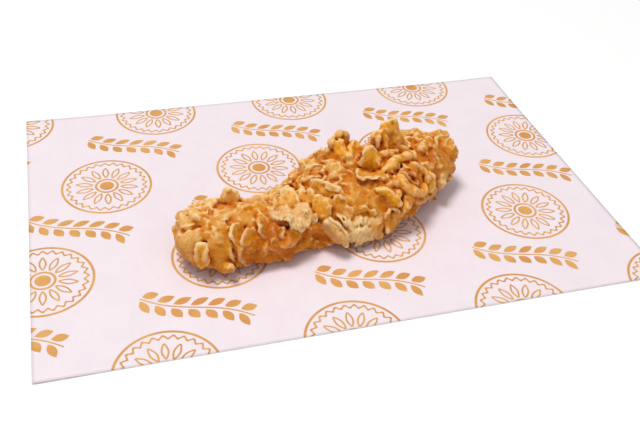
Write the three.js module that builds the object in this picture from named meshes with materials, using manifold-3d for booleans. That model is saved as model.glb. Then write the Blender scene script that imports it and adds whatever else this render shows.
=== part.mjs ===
// A crisp breaded chicken tender lying on its flat sheet of wrapping paper.
// Millimetres, +Z up. The origin is the middle of the sheet's underside, +X runs along the
// sheet's long side and +Y along its short side, away from the tender's near flank.
//
// The tender is one solid: a body swept along a bent spine, with the crust's lobes, flakes and
// curled ridges joined to it, and a flat spot underneath where it rests. A place on the crust is
// given by `along`, the distance from the left tip in mm, and `around`, the angle about the spine
// in degrees: 0 is the near flank, 90 the top, 180 the far flank and 270 the underside.

import * as THREE from "three";
import { mergeVertices } from "three/addons/utils/BufferGeometryUtils.js";
import Module from "manifold-3d";

// ---- driving dimensions ----
const SHEET = { width: 260, depth: 174, thickness: 0.4 };
const REST_GAP = 0.3; // between the sheet and the tender's flat spot
const FLOOR = SHEET.thickness + REST_GAP; // height of the flat spot

// The spine in plan, from the left tip to the right one.
const SPINE = [
  [-73, -28.5],
  [-50, -31.5],
  [-20, -26.5],
  [10, -17],
  [40, -7],
  [65.2, 0.7],
];

// Half width, top and base of the body at shares of its length. A base below 0 is cut off flat.
const SECTIONS = [
  { at: 0, halfWidth: 9.5, top: 18.5, base: 5 },
  { at: 0.08, halfWidth: 13.5, top: 21, base: 3 },
  { at: 0.2, halfWidth: 15.5, top: 21.5, base: -0.5 },
  { at: 0.38, halfWidth: 16.5, top: 19.5, base: -1 },
  { at: 0.5, halfWidth: 21, top: 25, base: -1 },
  { at: 0.62, halfWidth: 23.5, top: 28.7, base: -1 },
  { at: 0.76, halfWidth: 19.5, top: 26.8, base: 0 },
  { at: 0.89, halfWidth: 14, top: 25.6, base: 2.5 },
  { at: 1, halfWidth: 10, top: 24, base: 6.5 },
];
const TIP_ROUNDING = { left: 9, right: 8 }; // length over which each tip closes
const WIDEST_AT = 0.45; // share of the height where a section is widest
const BELLY_POWER = 0.7; // below 1, the underside is flatter than an ellipse
const CRUST_WAVE = 0.9; // height of the body's broad lumps

const BODY_STEPS = { along: 40, around: 26 };
const FLAKE_STEPS = { across: 4, up: 3 };
const CURL_STEPS = { perPoint: 2, sides: 6 };
const ROOT_DEPTH = 1.6; // how deep a flake's root sits under the crust

// Rounded lumps of crust: how far each is sunk, and its radii along, around and outwards.
const LOBES = [
  { name: "left_tip_low", along: 8, around: 26, sunk: 4, radii: [6.5, 8, 6] },
  { name: "left_tip_high", along: 7, around: 82, sunk: 2.5, radii: [5.5, 6.5, 5] },
  { name: "left_knob_a", along: 14.6, around: 66, sunk: 0.8, radii: [2.6, 2.4, 2.4] },
  { name: "left_knob_b", along: 11.6, around: 78, sunk: 0.8, radii: [2.3, 2.2, 2.2] },
  { name: "left_belly", along: 20, around: 8, sunk: 3.5, radii: [6.5, 9, 6] },
  { name: "low_lump_a", along: 30, around: 356, sunk: 3, radii: [6, 6, 5.5] },
  { name: "low_lump_b", along: 44, around: 2, sunk: 3.5, radii: [8, 6, 5.5] },
  { name: "low_lump_c", along: 58, around: 0, sunk: 3, radii: [6.5, 5, 5] },
  { name: "back_hump_a", along: 67, around: 138, sunk: 3, radii: [8, 7, 6.5] },
  { name: "back_hump_b", along: 77, around: 124, sunk: 3, radii: [7.5, 6.5, 5.5] },
  { name: "right_tip", along: 129, around: 44, sunk: 5, radii: [7, 11, 6.5] },
  { name: "right_tip_back", along: 128, around: 112, sunk: 3, radii: [6.5, 7, 5] },
  { name: "right_knob_a", along: 104, around: 68, sunk: 0.6, radii: [3.4, 2.6, 2.6] },
  { name: "right_knob_b", along: 110, around: 62, sunk: 0.6, radii: [3, 2.8, 2.6] },
  { name: "right_low_a", along: 102, around: 4, sunk: 1.5, radii: [5, 4.5, 4] },
  { name: "right_low_b", along: 110, around: 356, sunk: 1.5, radii: [4.5, 4.5, 4] },
  { name: "apron_root", along: 74, around: 350, sunk: 3, radii: [9, 5, 5] },
  { name: "far_lump_a", along: 38, around: 190, sunk: 3, radii: [7, 7, 5.5] },
  { name: "far_lump_b", along: 100, around: 176, sunk: 3, radii: [7, 6.5, 5] },
];

// Thin flakes that stand off the crust. heading is where a flake leans: 0 to the right tip, 90 on
// around the body, 180 to the left tip, 270 back. lean is 0 for upright and 90 for lying flat.
// bend curls its tip and cup its sides towards the body; point is 0 for round and 1 for a wedge.
const flake = (name, place, pose, size, form) => ({ name, ...place, ...pose, ...size, ...form });
const place = (along, around) => ({ along, around });
const pose = (heading, lean) => ({ heading, lean });
const size = (height, width, thickness) => ({ height, width, thickness });
const form = (bend, cup, point) => ({ bend, cup, point });

const FLAKES = [
  flake("tall_crest", place(104, 94), pose(65, 4), size(18.5, 8.5, 4), form(1, 0.6, 0)),
  flake("tall_crest_foot", place(103.5, 90), pose(75, 8), size(9.5, 15, 4.4), form(0.5, 0.8, 0.3)),
  flake("back_crest", place(86.5, 120), pose(75, -6), size(12.5, 10.5, 3.4), form(0.6, 0.6, 0.3)),
  flake("back_crest_right", place(91.5, 112), pose(60, 0), size(7, 5.5, 2.4), form(0.3, 0.3, 0.3)),
  flake("back_crest_left", place(82.5, 128), pose(110, 5), size(6.5, 6, 2.6), form(0.5, 0.4, 0.3)),
  flake("shark_fin", place(88.5, 70), pose(88, 34), size(13.5, 8.5, 3), form(0.8, 0.7, 0.35)),
  flake("left_crest", place(27, 112), pose(80, -5), size(8, 8, 3.4), form(0.5, 0.5, 0.3)),
  flake("left_cap", place(25.5, 70), pose(140, 62), size(10, 12, 2.2), form(1, 1.2, 0.2)),
  flake("ear_nub", place(14, 350), pose(90, 66), size(11, 6.5, 3.4), form(0.8, -0.5, 0)),
  flake("left_petal_a", place(28, 30), pose(176, 48), size(7.5, 11, 2), form(0.8, 1, 0.1)),
  flake("left_petal_b", place(32.5, 24), pose(160, 46), size(8, 10, 2), form(0.8, 1, 0.2)),
  flake("left_ridge", place(37.5, 50), pose(180, 50), size(5, 9, 2), form(0.5, 0.4, 0.1)),
  flake("frill", place(50, 66), pose(238, 74), size(9.5, 18, 1.8), form(-0.8, 0.4, 0)),
  flake("petal_1", place(50, 66), pose(92, 48), size(11.5, 9.5, 2.2), form(0.8, -0.8, 0.1)),
  flake("petal_2", place(58, 70), pose(95, 46), size(8.5, 8, 2.2), form(0.8, -0.5, 0.05)),
  flake("petal_3", place(68.5, 74), pose(88, 42), size(7, 13.5, 2), form(0.5, -0.5, 0.3)),
  flake("petal_4", place(61.5, 54), pose(85, 46), size(9.5, 8, 2.2), form(0.8, 0.8, 0.05)),
  flake("petal_5", place(69, 46), pose(85, 46), size(7, 6, 2), form(0.6, 0.5, 0.1)),
  flake("petal_6", place(71, 32), pose(80, 50), size(5.5, 5, 2), form(0.4, 0.4, 0.1)),
  flake("upper_ledge", place(85, 66), pose(268, 55), size(5, 14, 1.8), form(0.4, 0.5, 0)),
  flake("lower_ledge", place(80, 32), pose(275, 58), size(4, 11, 1.8), form(0.4, 0.4, 0)),
  flake("apron_left", place(69, 4), pose(280, 66), size(9, 13, 2.8), form(0.6, 0.6, 0)),
  flake("apron_right", place(79, 2), pose(272, 66), size(9.5, 15, 2.8), form(0.6, 0.6, 0)),
  flake("right_flap", place(89, 348), pose(80, 66), size(12, 8.5, 2.6), form(0.4, 0.6, 0.2)),
  flake("right_nub", place(119.5, 64), pose(95, 35), size(7, 4.5, 3), form(0.6, 0.5, 0)),
  flake("right_petal", place(117, 44), pose(95, 45), size(5.5, 5.5, 2), form(0.4, 0.5, 0.1)),
  flake("far_petal_a", place(48, 150), pose(95, 52), size(9, 10, 2.2), form(0.8, 0.8, 0.2)),
  flake("far_petal_b", place(66, 172), pose(85, 48), size(9, 11, 2.2), form(0.8, 0.8, 0.2)),
  flake("far_petal_c", place(84, 160), pose(100, 50), size(8.5, 10, 2.2), form(0.8, 0.8, 0.2)),
  flake("far_petal_d", place(116, 150), pose(80, 46), size(8, 9, 2.2), form(0.8, 0.8, 0.2)),
  flake("far_petal_e", place(26, 162), pose(100, 50), size(8, 9, 2.2), form(0.8, 0.8, 0.2)),
];

// Fat curled ridges: a tube of radius `radius` through places on the crust.
const CURLS = [
  {
    name: "curl_outer",
    radius: 2.4,
    through: [place(97, 54), place(97, 36), place(101, 22), place(107, 14), place(111, 18)],
  },
  {
    name: "curl_inner",
    radius: 2.1,
    through: [place(107, 52), place(112, 52), place(116, 40), place(114, 26)],
  },
  {
    name: "ridge_tall",
    radius: 2,
    through: [place(118, 44), place(120.5, 24), place(119.5, 4), place(116, 352)],
  },
  {
    name: "ridge_end",
    radius: 2,
    through: [place(123, 30), place(125.5, 12), place(122.5, 356)],
  },
  {
    name: "ridge_top",
    radius: 2.3,
    through: [place(98, 92), place(107, 86), place(116, 74), place(121, 84)],
  },
  {
    name: "tongue_right",
    radius: 2.4,
    through: [place(86, 50), place(90, 36), place(95, 22)],
  },
  {
    name: "tongue_mid",
    radius: 2.6,
    through: [place(62, 36), place(66, 18), place(71, 352)],
  },
];

// ---- the body's surface ----
const spine = new THREE.CatmullRomCurve3(
  SPINE.map(([x, y]) => new THREE.Vector3(x, y, 0)),
  false,
  "catmullrom",
  0.5,
);
spine.arcLengthDivisions = 600;
const LENGTH = spine.getLength();
const UP = new THREE.Vector3(0, 0, 1);

/** The value of `key` at a share of the length, on a smooth curve through SECTIONS. */
function profile(key, share) {
  const last = SECTIONS.length - 1;
  const slope = (i) => {
    const a = SECTIONS[Math.max(i - 1, 0)];
    const b = SECTIONS[Math.min(i + 1, last)];
    return (b[key] - a[key]) / (b.at - a.at);
  };
  let i = 0;
  while (i < last - 1 && share > SECTIONS[i + 1].at) i += 1;
  const from = SECTIONS[i];
  const to = SECTIONS[i + 1];
  const span = to.at - from.at;
  const t = (share - from.at) / span;
  const [t2, t3] = [t * t, t * t * t];
  return (
    (2 * t3 - 3 * t2 + 1) * from[key] +
    (t3 - 2 * t2 + t) * span * slope(i) +
    (3 * t2 - 2 * t3) * to[key] +
    (t3 - t2) * span * slope(i + 1)
  );
}

/** How far a section has opened, from 0 at a tip to 1 past its rounding. */
function opening(along) {
  const inLeft = Math.min(along / TIP_ROUNDING.left, 1);
  const inRight = Math.min((LENGTH - along) / TIP_ROUNDING.right, 1);
  const quarter = (share) => Math.sqrt(Math.max(0, 1 - (1 - share) ** 2));
  return quarter(inLeft) * quarter(inRight);
}

/** A point on the body, `out` mm outside its smooth surface. */
function bodyPoint(along, around, out = 0) {
  const share = THREE.MathUtils.clamp(along / LENGTH, 0, 1);
  const centre = spine.getPointAt(share);
  const ahead = spine.getTangentAt(share);
  const side = new THREE.Vector3().crossVectors(UP, ahead).normalize();
  const open = opening(THREE.MathUtils.clamp(along, 0, LENGTH));
  const top = profile("top", share);
  const base = profile("base", share);
  const middle = base + (top - base) * WIDEST_AT;
  const angle = THREE.MathUtils.degToRad(around);
  const [c, s] = [Math.cos(angle), Math.sin(angle)];
  const across = -(profile("halfWidth", share) + out) * open * c;
  const rise =
    s >= 0
      ? (top - middle + out) * open * s
      : -(middle - base + out) * open * (-s) ** BELLY_POWER;
  return centre
    .addScaledVector(side, across)
    .setZ(FLOOR + middle + rise);
}

/** Broad lumps of the crust at a place, between about -1 and 1. */
function lumps(along, around) {
  const angle = THREE.MathUtils.degToRad(around);
  return (
    0.5 * Math.sin(along * 0.42 + 2 * Math.sin(angle)) +
    0.3 * Math.sin(along * 0.27 + 3 * angle) +
    0.2 * Math.sin(along * 0.71 - 4 * angle)
  );
}

/** Axes of the crust at a place: along the body, on around it, and outwards. */
function crustFrame(along, around) {
  const step = { along: 0.5, around: 1 };
  const ahead = bodyPoint(along + step.along, around)
    .sub(bodyPoint(along - step.along, around))
    .normalize();
  const round = bodyPoint(along, around + step.around)
    .sub(bodyPoint(along, around - step.around))
    .normalize();
  const outward = new THREE.Vector3().crossVectors(ahead, round).normalize();
  return { origin: bodyPoint(along, around), ahead, round, outward };
}

// ---- closed meshes ----
function geometryOf(points, faces) {
  const geometry = new THREE.BufferGeometry().setFromPoints(points);
  geometry.setIndex(faces.flat());
  return geometry;
}

/** Closes rings of points, all with the same count, into a skin with a point at each end. */
function skin(rings, first, last) {
  const count = rings[0].length;
  const points = [...rings.flat(), first, last];
  const [firstIndex, lastIndex] = [points.length - 2, points.length - 1];
  const faces = [];
  for (let j = 0; j < count; j += 1) {
    const k = (j + 1) % count;
    for (let i = 0; i + 1 < rings.length; i += 1) {
      const [a, b] = [i * count + j, i * count + k];
      const [c, d] = [a + count, b + count];
      faces.push([a, c, b], [b, c, d]);
    }
    const end = (rings.length - 1) * count;
    faces.push([firstIndex, j, k], [lastIndex, end + k, end + j]);
  }
  return geometryOf(points, faces);
}

function bodyGeometry() {
  const rings = [];
  for (let i = 1; i < BODY_STEPS.along; i += 1) {
    const along = (LENGTH * (1 - Math.cos((Math.PI * i) / BODY_STEPS.along))) / 2;
    const ring = [];
    for (let j = 0; j < BODY_STEPS.around; j += 1) {
      const around = (360 * j) / BODY_STEPS.around;
      ring.push(bodyPoint(along, around, CRUST_WAVE * lumps(along, around)));
    }
    rings.push(ring);
  }
  return skin(rings, bodyPoint(0, 0), bodyPoint(LENGTH, 0));
}

function lobeGeometry({ along, around, sunk, radii }) {
  const { origin, ahead, round, outward } = crustFrame(along, around);
  const geometry = new THREE.SphereGeometry(1, 9, 6);
  const turn = new THREE.Matrix4().makeBasis(ahead, round, outward);
  geometry.scale(...radii).applyMatrix4(turn);
  const centre = origin.addScaledVector(outward, -sunk);
  return geometry.translate(centre.x, centre.y, centre.z);
}

/** A flake is a grid of points over its outline, once on each face, closed at the rim. */
function flakeGeometry(spec) {
  const { along, around, heading, lean, height, width, thickness, bend, cup, point } = spec;
  const { origin, ahead, round, outward } = crustFrame(along, around);
  const turn = THREE.MathUtils.degToRad(heading);
  const tilt = THREE.MathUtils.degToRad(lean);
  const towards = ahead
    .clone()
    .multiplyScalar(Math.cos(turn))
    .addScaledVector(round, Math.sin(turn));
  const side = new THREE.Vector3().crossVectors(outward, towards);
  const rise = outward
    .clone()
    .multiplyScalar(Math.cos(tilt))
    .addScaledVector(towards, Math.sin(tilt));
  const face = outward
    .clone()
    .multiplyScalar(Math.sin(tilt))
    .addScaledVector(towards, -Math.cos(tilt));
  const root = origin.addScaledVector(outward, -ROOT_DEPTH);
  const widthPower = 0.5 + 0.5 * point;
  const heightPower = 2.6 - 1.6 * point;

  /** The flake's mid-surface at a share across, -1 to 1, and a share up, 0 to 1. */
  const at = (across, up, offset) => {
    const half = (width / 2) * (1 - up ** heightPower) ** widthPower;
    const outwards = -bend * up ** 2 - cup * ((across * half * 2) / width) ** 2;
    return root
      .clone()
      .addScaledVector(side, across * half)
      .addScaledVector(rise, up * height)
      .addScaledVector(face, outwards + offset);
  };

  const rings = [];
  for (let i = 0; i <= FLAKE_STEPS.up; i += 1) {
    // The last row stops short of the tip, where the outline has no width.
    const up = 0.96 * Math.sin((Math.PI / 2) * (i / FLAKE_STEPS.up));
    const thin = (thickness / 2) * (1 - 0.35 * up);
    const ring = [];
    for (const outer of [1, -1]) {
      for (let j = 0; j <= FLAKE_STEPS.across; j += 1) {
        const across = outer * ((2 * j) / FLAKE_STEPS.across - 1);
        const rim = Math.sqrt(Math.max(0.12, 1 - Math.abs(across) ** 3));
        ring.push(at(across * 0.999, up, outer * thin * rim));
      }
    }
    rings.push(ring);
  }
  return skin(rings, at(0, 0, 0), at(0, 1, 0));
}

function curlGeometry({ radius, through }) {
  const points = through.map(({ along, around }) => bodyPoint(along, around, radius * 0.35));
  const path = new THREE.CatmullRomCurve3(points);
  const steps = (points.length - 1) * CURL_STEPS.perPoint;
  const frames = path.computeFrenetFrames(steps);
  const rings = [];
  for (let i = 0; i <= steps; i += 1) {
    const share = i / steps;
    const swell = radius * (0.75 + 0.25 * Math.sin(Math.PI * share));
    const centre = path.getPointAt(share);
    const ring = [];
    for (let j = 0; j < CURL_STEPS.sides; j += 1) {
      const angle = (-2 * Math.PI * j) / CURL_STEPS.sides;
      ring.push(
        centre
          .clone()
          .addScaledVector(frames.normals[i], swell * Math.cos(angle))
          .addScaledVector(frames.binormals[i], swell * Math.sin(angle)),
      );
    }
    rings.push(ring);
  }
  const cap = (share, outwards) =>
    path.getPointAt(share).addScaledVector(path.getTangentAt(share), outwards * radius * 0.6);
  return skin(rings, cap(0, -1), cap(1, 1));
}

// ---- solids ----
const wasm = await Module();
wasm.setup();

function solidOf(geometry) {
  const bare = geometry.clone();
  bare.deleteAttribute("normal");
  bare.deleteAttribute("uv");
  const merged = mergeVertices(bare, 1e-4);
  const solid = new wasm.Manifold(
    new wasm.Mesh({
      numProp: 3,
      vertProperties: merged.attributes.position.array,
      triVerts: new Uint32Array(merged.index.array),
    }),
  );
  return solid;
}

function geometryFrom(solid) {
  const { vertProperties, triVerts } = solid.getMesh();
  const geometry = new THREE.BufferGeometry();
  geometry.setAttribute("position", new THREE.BufferAttribute(vertProperties, 3));
  geometry.setIndex(new THREE.BufferAttribute(triVerts, 1));
  geometry.computeVertexNormals();
  return geometry;
}

/** What lies under the tender's flat spot, to be cut away. */
function underFloor() {
  const depth = 30;
  const slab = new THREE.BoxGeometry(SHEET.width, SHEET.depth, depth);
  return slab.translate(0, 0, FLOOR - depth / 2);
}

function tenderGeometry() {
  let tender = solidOf(bodyGeometry());
  const pieces = [
    ...LOBES.map(lobeGeometry),
    ...FLAKES.map(flakeGeometry),
    ...CURLS.map(curlGeometry),
  ];
  for (const piece of pieces) tender = tender.add(solidOf(piece));
  return geometryFrom(tender.subtract(solidOf(underFloor())));
}

function sheetGeometry() {
  const sheet = new THREE.BoxGeometry(SHEET.width, SHEET.depth, SHEET.thickness);
  return sheet.translate(0, 0, SHEET.thickness / 2);
}

// ---- the object ----
const crust = new THREE.MeshStandardMaterial({ color: 0xc9883c, roughness: 0.5, metalness: 0 });
const paper = new THREE.MeshStandardMaterial({ color: 0xf3e6ea, roughness: 0.7, metalness: 0 });

function named(name, geometry, material) {
  const mesh = new THREE.Mesh(geometry, material);
  mesh.name = name;
  return mesh;
}

const object = new THREE.Group();
object.add(named("tender", tenderGeometry(), crust));
object.add(named("paper_sheet", sheetGeometry(), paper));

export default object;
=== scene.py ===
"""Looks for a crisp breaded chicken tender lying on a sheet of printed wrapping paper.

Lengths in the tables are millimetres. A place on the crust is `along`, the distance from the
left tip, and `around`, the angle about the spine in degrees: 0 is the near flank, 90 the top,
180 the far flank and 270 the underside.
"""

import math

import bpy
import numpy as np
import openvdb
from mathutils import Matrix, Vector


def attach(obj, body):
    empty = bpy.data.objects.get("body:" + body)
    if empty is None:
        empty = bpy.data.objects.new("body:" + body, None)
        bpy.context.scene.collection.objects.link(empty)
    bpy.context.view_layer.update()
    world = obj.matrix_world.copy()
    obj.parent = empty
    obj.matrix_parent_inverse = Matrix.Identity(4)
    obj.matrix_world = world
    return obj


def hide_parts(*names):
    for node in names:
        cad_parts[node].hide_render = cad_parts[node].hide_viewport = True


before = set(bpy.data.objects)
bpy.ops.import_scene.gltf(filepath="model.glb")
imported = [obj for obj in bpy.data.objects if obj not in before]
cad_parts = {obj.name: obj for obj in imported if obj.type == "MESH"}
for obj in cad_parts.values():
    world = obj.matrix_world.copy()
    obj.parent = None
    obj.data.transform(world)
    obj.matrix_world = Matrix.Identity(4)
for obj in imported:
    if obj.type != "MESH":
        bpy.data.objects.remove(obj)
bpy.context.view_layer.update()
MM = 0.001

# ---- camera ----
CAMERA_AT = (-97.398, -294.002, 234.229)
CAMERA_RIGHT = (0.95987232, -0.27462952, 0.05677809)
CAMERA_DOWN = (-0.12868228, -0.61121747, -0.78093154)
CAMERA_AHEAD = (0.24917062, 0.74228824, -0.62203068)
CAMERA_LENS = 46.508
SENSOR_WIDTH = 36


def add_camera():
    data = bpy.data.cameras.new("camera")
    data.sensor_width = SENSOR_WIDTH
    data.sensor_fit = "HORIZONTAL"
    data.lens = CAMERA_LENS
    data.clip_start = 0.01
    camera = bpy.data.objects.new("camera", data)
    bpy.context.collection.objects.link(camera)
    axes = [Vector(CAMERA_RIGHT), -Vector(CAMERA_DOWN), -Vector(CAMERA_AHEAD)]
    turn = Matrix(axes).transposed()
    camera.matrix_world = Matrix.Translation(Vector(CAMERA_AT) * MM) @ turn.to_4x4()
    bpy.context.scene.camera = camera


add_camera()

# ---- the tender's body ----
PAPER_TOP = 0.4  # height of the sheet's upper face
REST_HEIGHT = 0.6  # height of the flat spot that the tender rests on
BODY_LIFT = 0.7  # height that the section heights below are measured from
SPINE = [(-73, -28.5), (-50, -31.5), (-20, -26.5), (10, -17), (40, -7), (65.2, 0.7)]
# share of the length, half width, top, base
SECTIONS = np.array(
    [
        (0, 9.5, 18.5, 5),
        (0.08, 13.5, 21, 3),
        (0.2, 15.5, 21.5, -0.5),
        (0.38, 16.5, 19.5, -1),
        (0.5, 21, 25, -1),
        (0.62, 23.5, 28.7, -1),
        (0.76, 19.5, 26.8, 0),
        (0.89, 14, 25.6, 2.5),
        (1, 10, 24, 6.5),
    ]
)
TIP_LEFT = 9  # length over which the left tip closes
TIP_RIGHT = 8
WIDEST_AT = 0.45  # share of the height where a section is widest
BELLY_POWER = 0.7  # below 1, the underside is flatter than an ellipse


def curve_through(points, per_span):
    """Points on a smooth curve through the given ones."""
    points = np.array(points, float)
    knots = np.vstack([2 * points[0] - points[1], points, 2 * points[-1] - points[-2]])
    t = np.linspace(0, 1, per_span, endpoint=False)[:, None]
    spans = []
    for i in range(1, len(knots) - 2):
        a, b, c, d = knots[i - 1 : i + 3]
        cubic = 2 * b + (c - a) * t + (2 * a - 5 * b + 4 * c - d) * t**2
        spans.append((cubic + (3 * b - a - 3 * c + d) * t**3) / 2)
    return np.vstack(spans + [knots[-2:-1]])


def arc_along(points):
    """How far along their path each of the points lies."""
    return np.concatenate([[0], np.cumsum(np.linalg.norm(np.diff(points, axis=0), axis=1))])


def points_at(at, arc, points):
    """Places at distances `at` along a path whose points lie at distances `arc`."""
    return np.stack([np.interp(at, arc, column) for column in points.T], -1)


SPINE_XY = curve_through(SPINE, 160)
SPINE_ARC = arc_along(SPINE_XY)
LENGTH = SPINE_ARC[-1]


def smooth_table(at, column):
    """A column of SECTIONS at shares of the length, on a smooth curve through its rows."""
    x, y = SECTIONS[:, 0], SECTIONS[:, column]
    slope = np.gradient(y, x)
    slope[1:-1] = (y[2:] - y[:-2]) / (x[2:] - x[:-2])
    i = np.clip(np.searchsorted(x, at) - 1, 0, len(x) - 2)
    span = x[i + 1] - x[i]
    t = (at - x[i]) / span
    start = (2 * t**3 - 3 * t**2 + 1) * y[i] + (t**3 - 2 * t**2 + t) * span * slope[i]
    return start + (3 * t**2 - 2 * t**3) * y[i + 1] + (t**3 - t**2) * span * slope[i + 1]


def section(along):
    """Half width, middle height, height above it and depth below it."""
    share = np.clip(along / LENGTH, 0, 1)
    half, top, base = (smooth_table(share, column) for column in (1, 2, 3))
    middle = base + (top - base) * WIDEST_AT
    return half, middle, top - middle, middle - base


def spine_at(along):
    """Place and direction of the spine, which runs straight on past its tips."""
    inside = np.clip(along, 0, LENGTH)
    step = 0.5
    low, high = np.clip(inside - step, 0, LENGTH), np.clip(inside + step, 0, LENGTH)
    xy = points_at(inside, SPINE_ARC, SPINE_XY)
    ahead = points_at(high, SPINE_ARC, SPINE_XY) - points_at(low, SPINE_ARC, SPINE_XY)
    ahead /= np.linalg.norm(ahead, axis=-1, keepdims=True)
    return xy + ahead * (along - inside)[..., None], ahead


def body_point(along, around):
    along = np.asarray(along, float)
    angle = np.radians(around)
    xy, ahead = spine_at(along)
    half, middle, above, below = section(along)
    left = 1 - np.clip(along / TIP_LEFT, 0, 1)
    right = 1 - np.clip((LENGTH - along) / TIP_RIGHT, 0, 1)
    open_ = np.sqrt(np.clip(1 - left**2, 0.02, 1)) * np.sqrt(np.clip(1 - right**2, 0.02, 1))
    side = -half * open_ * np.cos(angle)
    sine = np.sin(angle)
    rise = np.where(sine >= 0, above * sine, -below * np.abs(sine) ** BELLY_POWER) * open_
    x = xy[..., 0] - ahead[..., 1] * side
    y = xy[..., 1] + ahead[..., 0] * side
    return np.stack([x, y, BODY_LIFT + middle + rise], -1)


def unit(vector):
    return vector / np.linalg.norm(vector, axis=-1, keepdims=True)


def crust_axes(along, around):
    """Unit vectors at a place: along the body, on around it, and outwards."""
    ahead = unit(body_point(along + 0.5, around) - body_point(along - 0.5, around))
    onward = unit(body_point(along, around + 1) - body_point(along, around - 1))
    outward = unit(np.cross(ahead, onward))
    return ahead, np.cross(outward, ahead), outward


# ---- how the crust is made ----
TRIANGLES = 190_000  # that the crust's mesh is thinned to
LAYER_PITCH = 11.0  # along the body from one layer's rim to the next
LAYER_RIM = 0.85  # share of a layer at which its rim lies
SKIN_SHRINK = 0.5  # how far the lumpy skin lies inside the smooth body
BASE_SHRINK = 0.5  # how far the crust's base lies inside the skin
CRUMB_TRIES = 5000
CRUMB_SEED = 12
CRUMB_BLEND = 1.3
FLAKE_TRIES = 300
FLAKE_SEED = 11
FLAKE_BLEND = 1.9  # at a flake's root
RIM_SHARPENING = 1.4  # how much of that blend is gone at its rim
GROOVE_SEED = 90
GROOVE_BLEND = 1.0
SHAKE_SEED = 70

# ---- fields on a grid of cells ----
CELL = 0.5
LOW = np.array([-84.0, -62.0, -3.0])
HIGH = np.array([80.0, 27.0, 50.0])
COUNT = np.ceil((HIGH - LOW) / CELL).astype(int) + 1
AXES = [LOW[k] + CELL * np.arange(COUNT[k]) for k in range(3)]


def wander(size, seed):
    """Smooth random values over the grid, about 1 in size, that change over `size` mm."""
    rng = np.random.default_rng(seed)
    weights = []
    for axis in AXES:
        t = (axis - axis[0]) / size
        i = np.floor(t).astype(int)
        f = t - i
        table = np.zeros((len(axis), i[-1] + 4), np.float32)
        rows = np.arange(len(axis))
        table[rows, i] = (1 - f) ** 3 / 6
        table[rows, i + 1] = (3 * f**3 - 6 * f**2 + 4) / 6
        table[rows, i + 2] = (3 * f + 3 * f**2 - 3 * f**3 + 1) / 6
        table[rows, i + 3] = f**3 / 6
        weights.append(table)
    values = rng.normal(size=[w.shape[1] for w in weights]).astype(np.float32) / 0.33
    values = np.tensordot(weights[0], values, (1, 0))
    values = np.tensordot(values, weights[1], (1, 1)).transpose(0, 2, 1)
    return np.ascontiguousarray(np.tensordot(values, weights[2], (2, 1)))


def ridges(size, seed):
    """Random values over the grid that are never below 0, with creases between their humps."""
    return np.abs(wander(size, seed))


def sample(field, points):
    """Values of a grid field at points, by the eight cells around each."""
    t = np.clip((points - LOW) / CELL, 0, COUNT - 1.001)
    i = t.astype(int)
    f = (t - i).astype(np.float32)
    total = 0
    for corner in range(8):
        step = np.array([corner & 1, corner >> 1 & 1, corner >> 2 & 1])
        weight = np.prod(np.where(step, f, 1 - f), axis=1)
        j = i + step
        total = total + weight * field[j[:, 0], j[:, 1], j[:, 2]]
    return total


def blurred(field, radius):
    """The field averaged over about `radius` mm."""
    reach = max(1, round(radius / CELL / 1.7))
    for _ in range(3):
        for axis in range(3):
            pad = [(0, 0)] * 3
            pad[axis] = (reach + 1, reach)
            total = np.cumsum(np.pad(field, pad, mode="edge"), axis=axis, dtype=np.float32)
            n = field.shape[axis]
            take = [slice(None)] * 3
            drop = [slice(None)] * 3
            take[axis] = slice(2 * reach + 1, 2 * reach + 1 + n)
            drop[axis] = slice(0, n)
            field = (total[tuple(take)] - total[tuple(drop)]) / (2 * reach + 1)
    return field


def joined(a, b, blend):
    """Union of two distance fields, with a fillet of about `blend` mm."""
    h = np.clip(0.5 + 0.5 * (b - a) / blend, 0, 1)
    return b + (a - b) * h - blend * h * (1 - h)


STATIONS = np.arange(-24, LENGTH + 24, 0.5)
STATION_XY, STATION_AHEAD = spine_at(STATIONS)


def along_and_across(points):
    """How far points lie along the spine, and across it to its far side."""
    xy = points[:, :2]
    gap = ((xy[:, None].astype(np.float32) - STATION_XY.astype(np.float32)) ** 2).sum(-1)
    nearest = gap.argmin(1)
    offset = xy - STATION_XY[nearest]
    ahead = STATION_AHEAD[nearest]
    along = STATIONS[nearest] + (offset * ahead).sum(1)
    return along, ahead[:, 0] * offset[:, 1] - ahead[:, 1] * offset[:, 0]


def spine_grid():
    """How far each column of cells lies along the spine, and across it."""
    x, y = np.meshgrid(AXES[0], AXES[1], indexing="ij")
    flat = np.stack([x, y], -1).reshape(-1, 2)
    return [v.reshape(x.shape)[..., None] for v in along_and_across(flat)]


ALONG, ACROSS = spine_grid()


def body_field():
    """Distance outside the smooth body."""
    along, side = ALONG, ACROSS
    half, middle, above, below = section(along)
    rise = AXES[2] - BODY_LIFT - middle
    upper = np.clip(rise, 0, None) / above
    lower = np.clip(-rise, 0, None) / below
    q = (side / half) ** 2 + upper**2 + lower ** (2 / BELLY_POWER)
    tip = np.clip(1 - along / TIP_LEFT, 0, None) ** 2
    tip = tip + np.clip(1 - (LENGTH - along) / TIP_RIGHT, 0, None) ** 2
    level = np.sqrt(q + tip).astype(np.float32)
    steep = np.sqrt(sum(g**2 for g in np.gradient(level, CELL)))
    return (level - 1) / np.clip(steep, 0.03, None)


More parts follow.
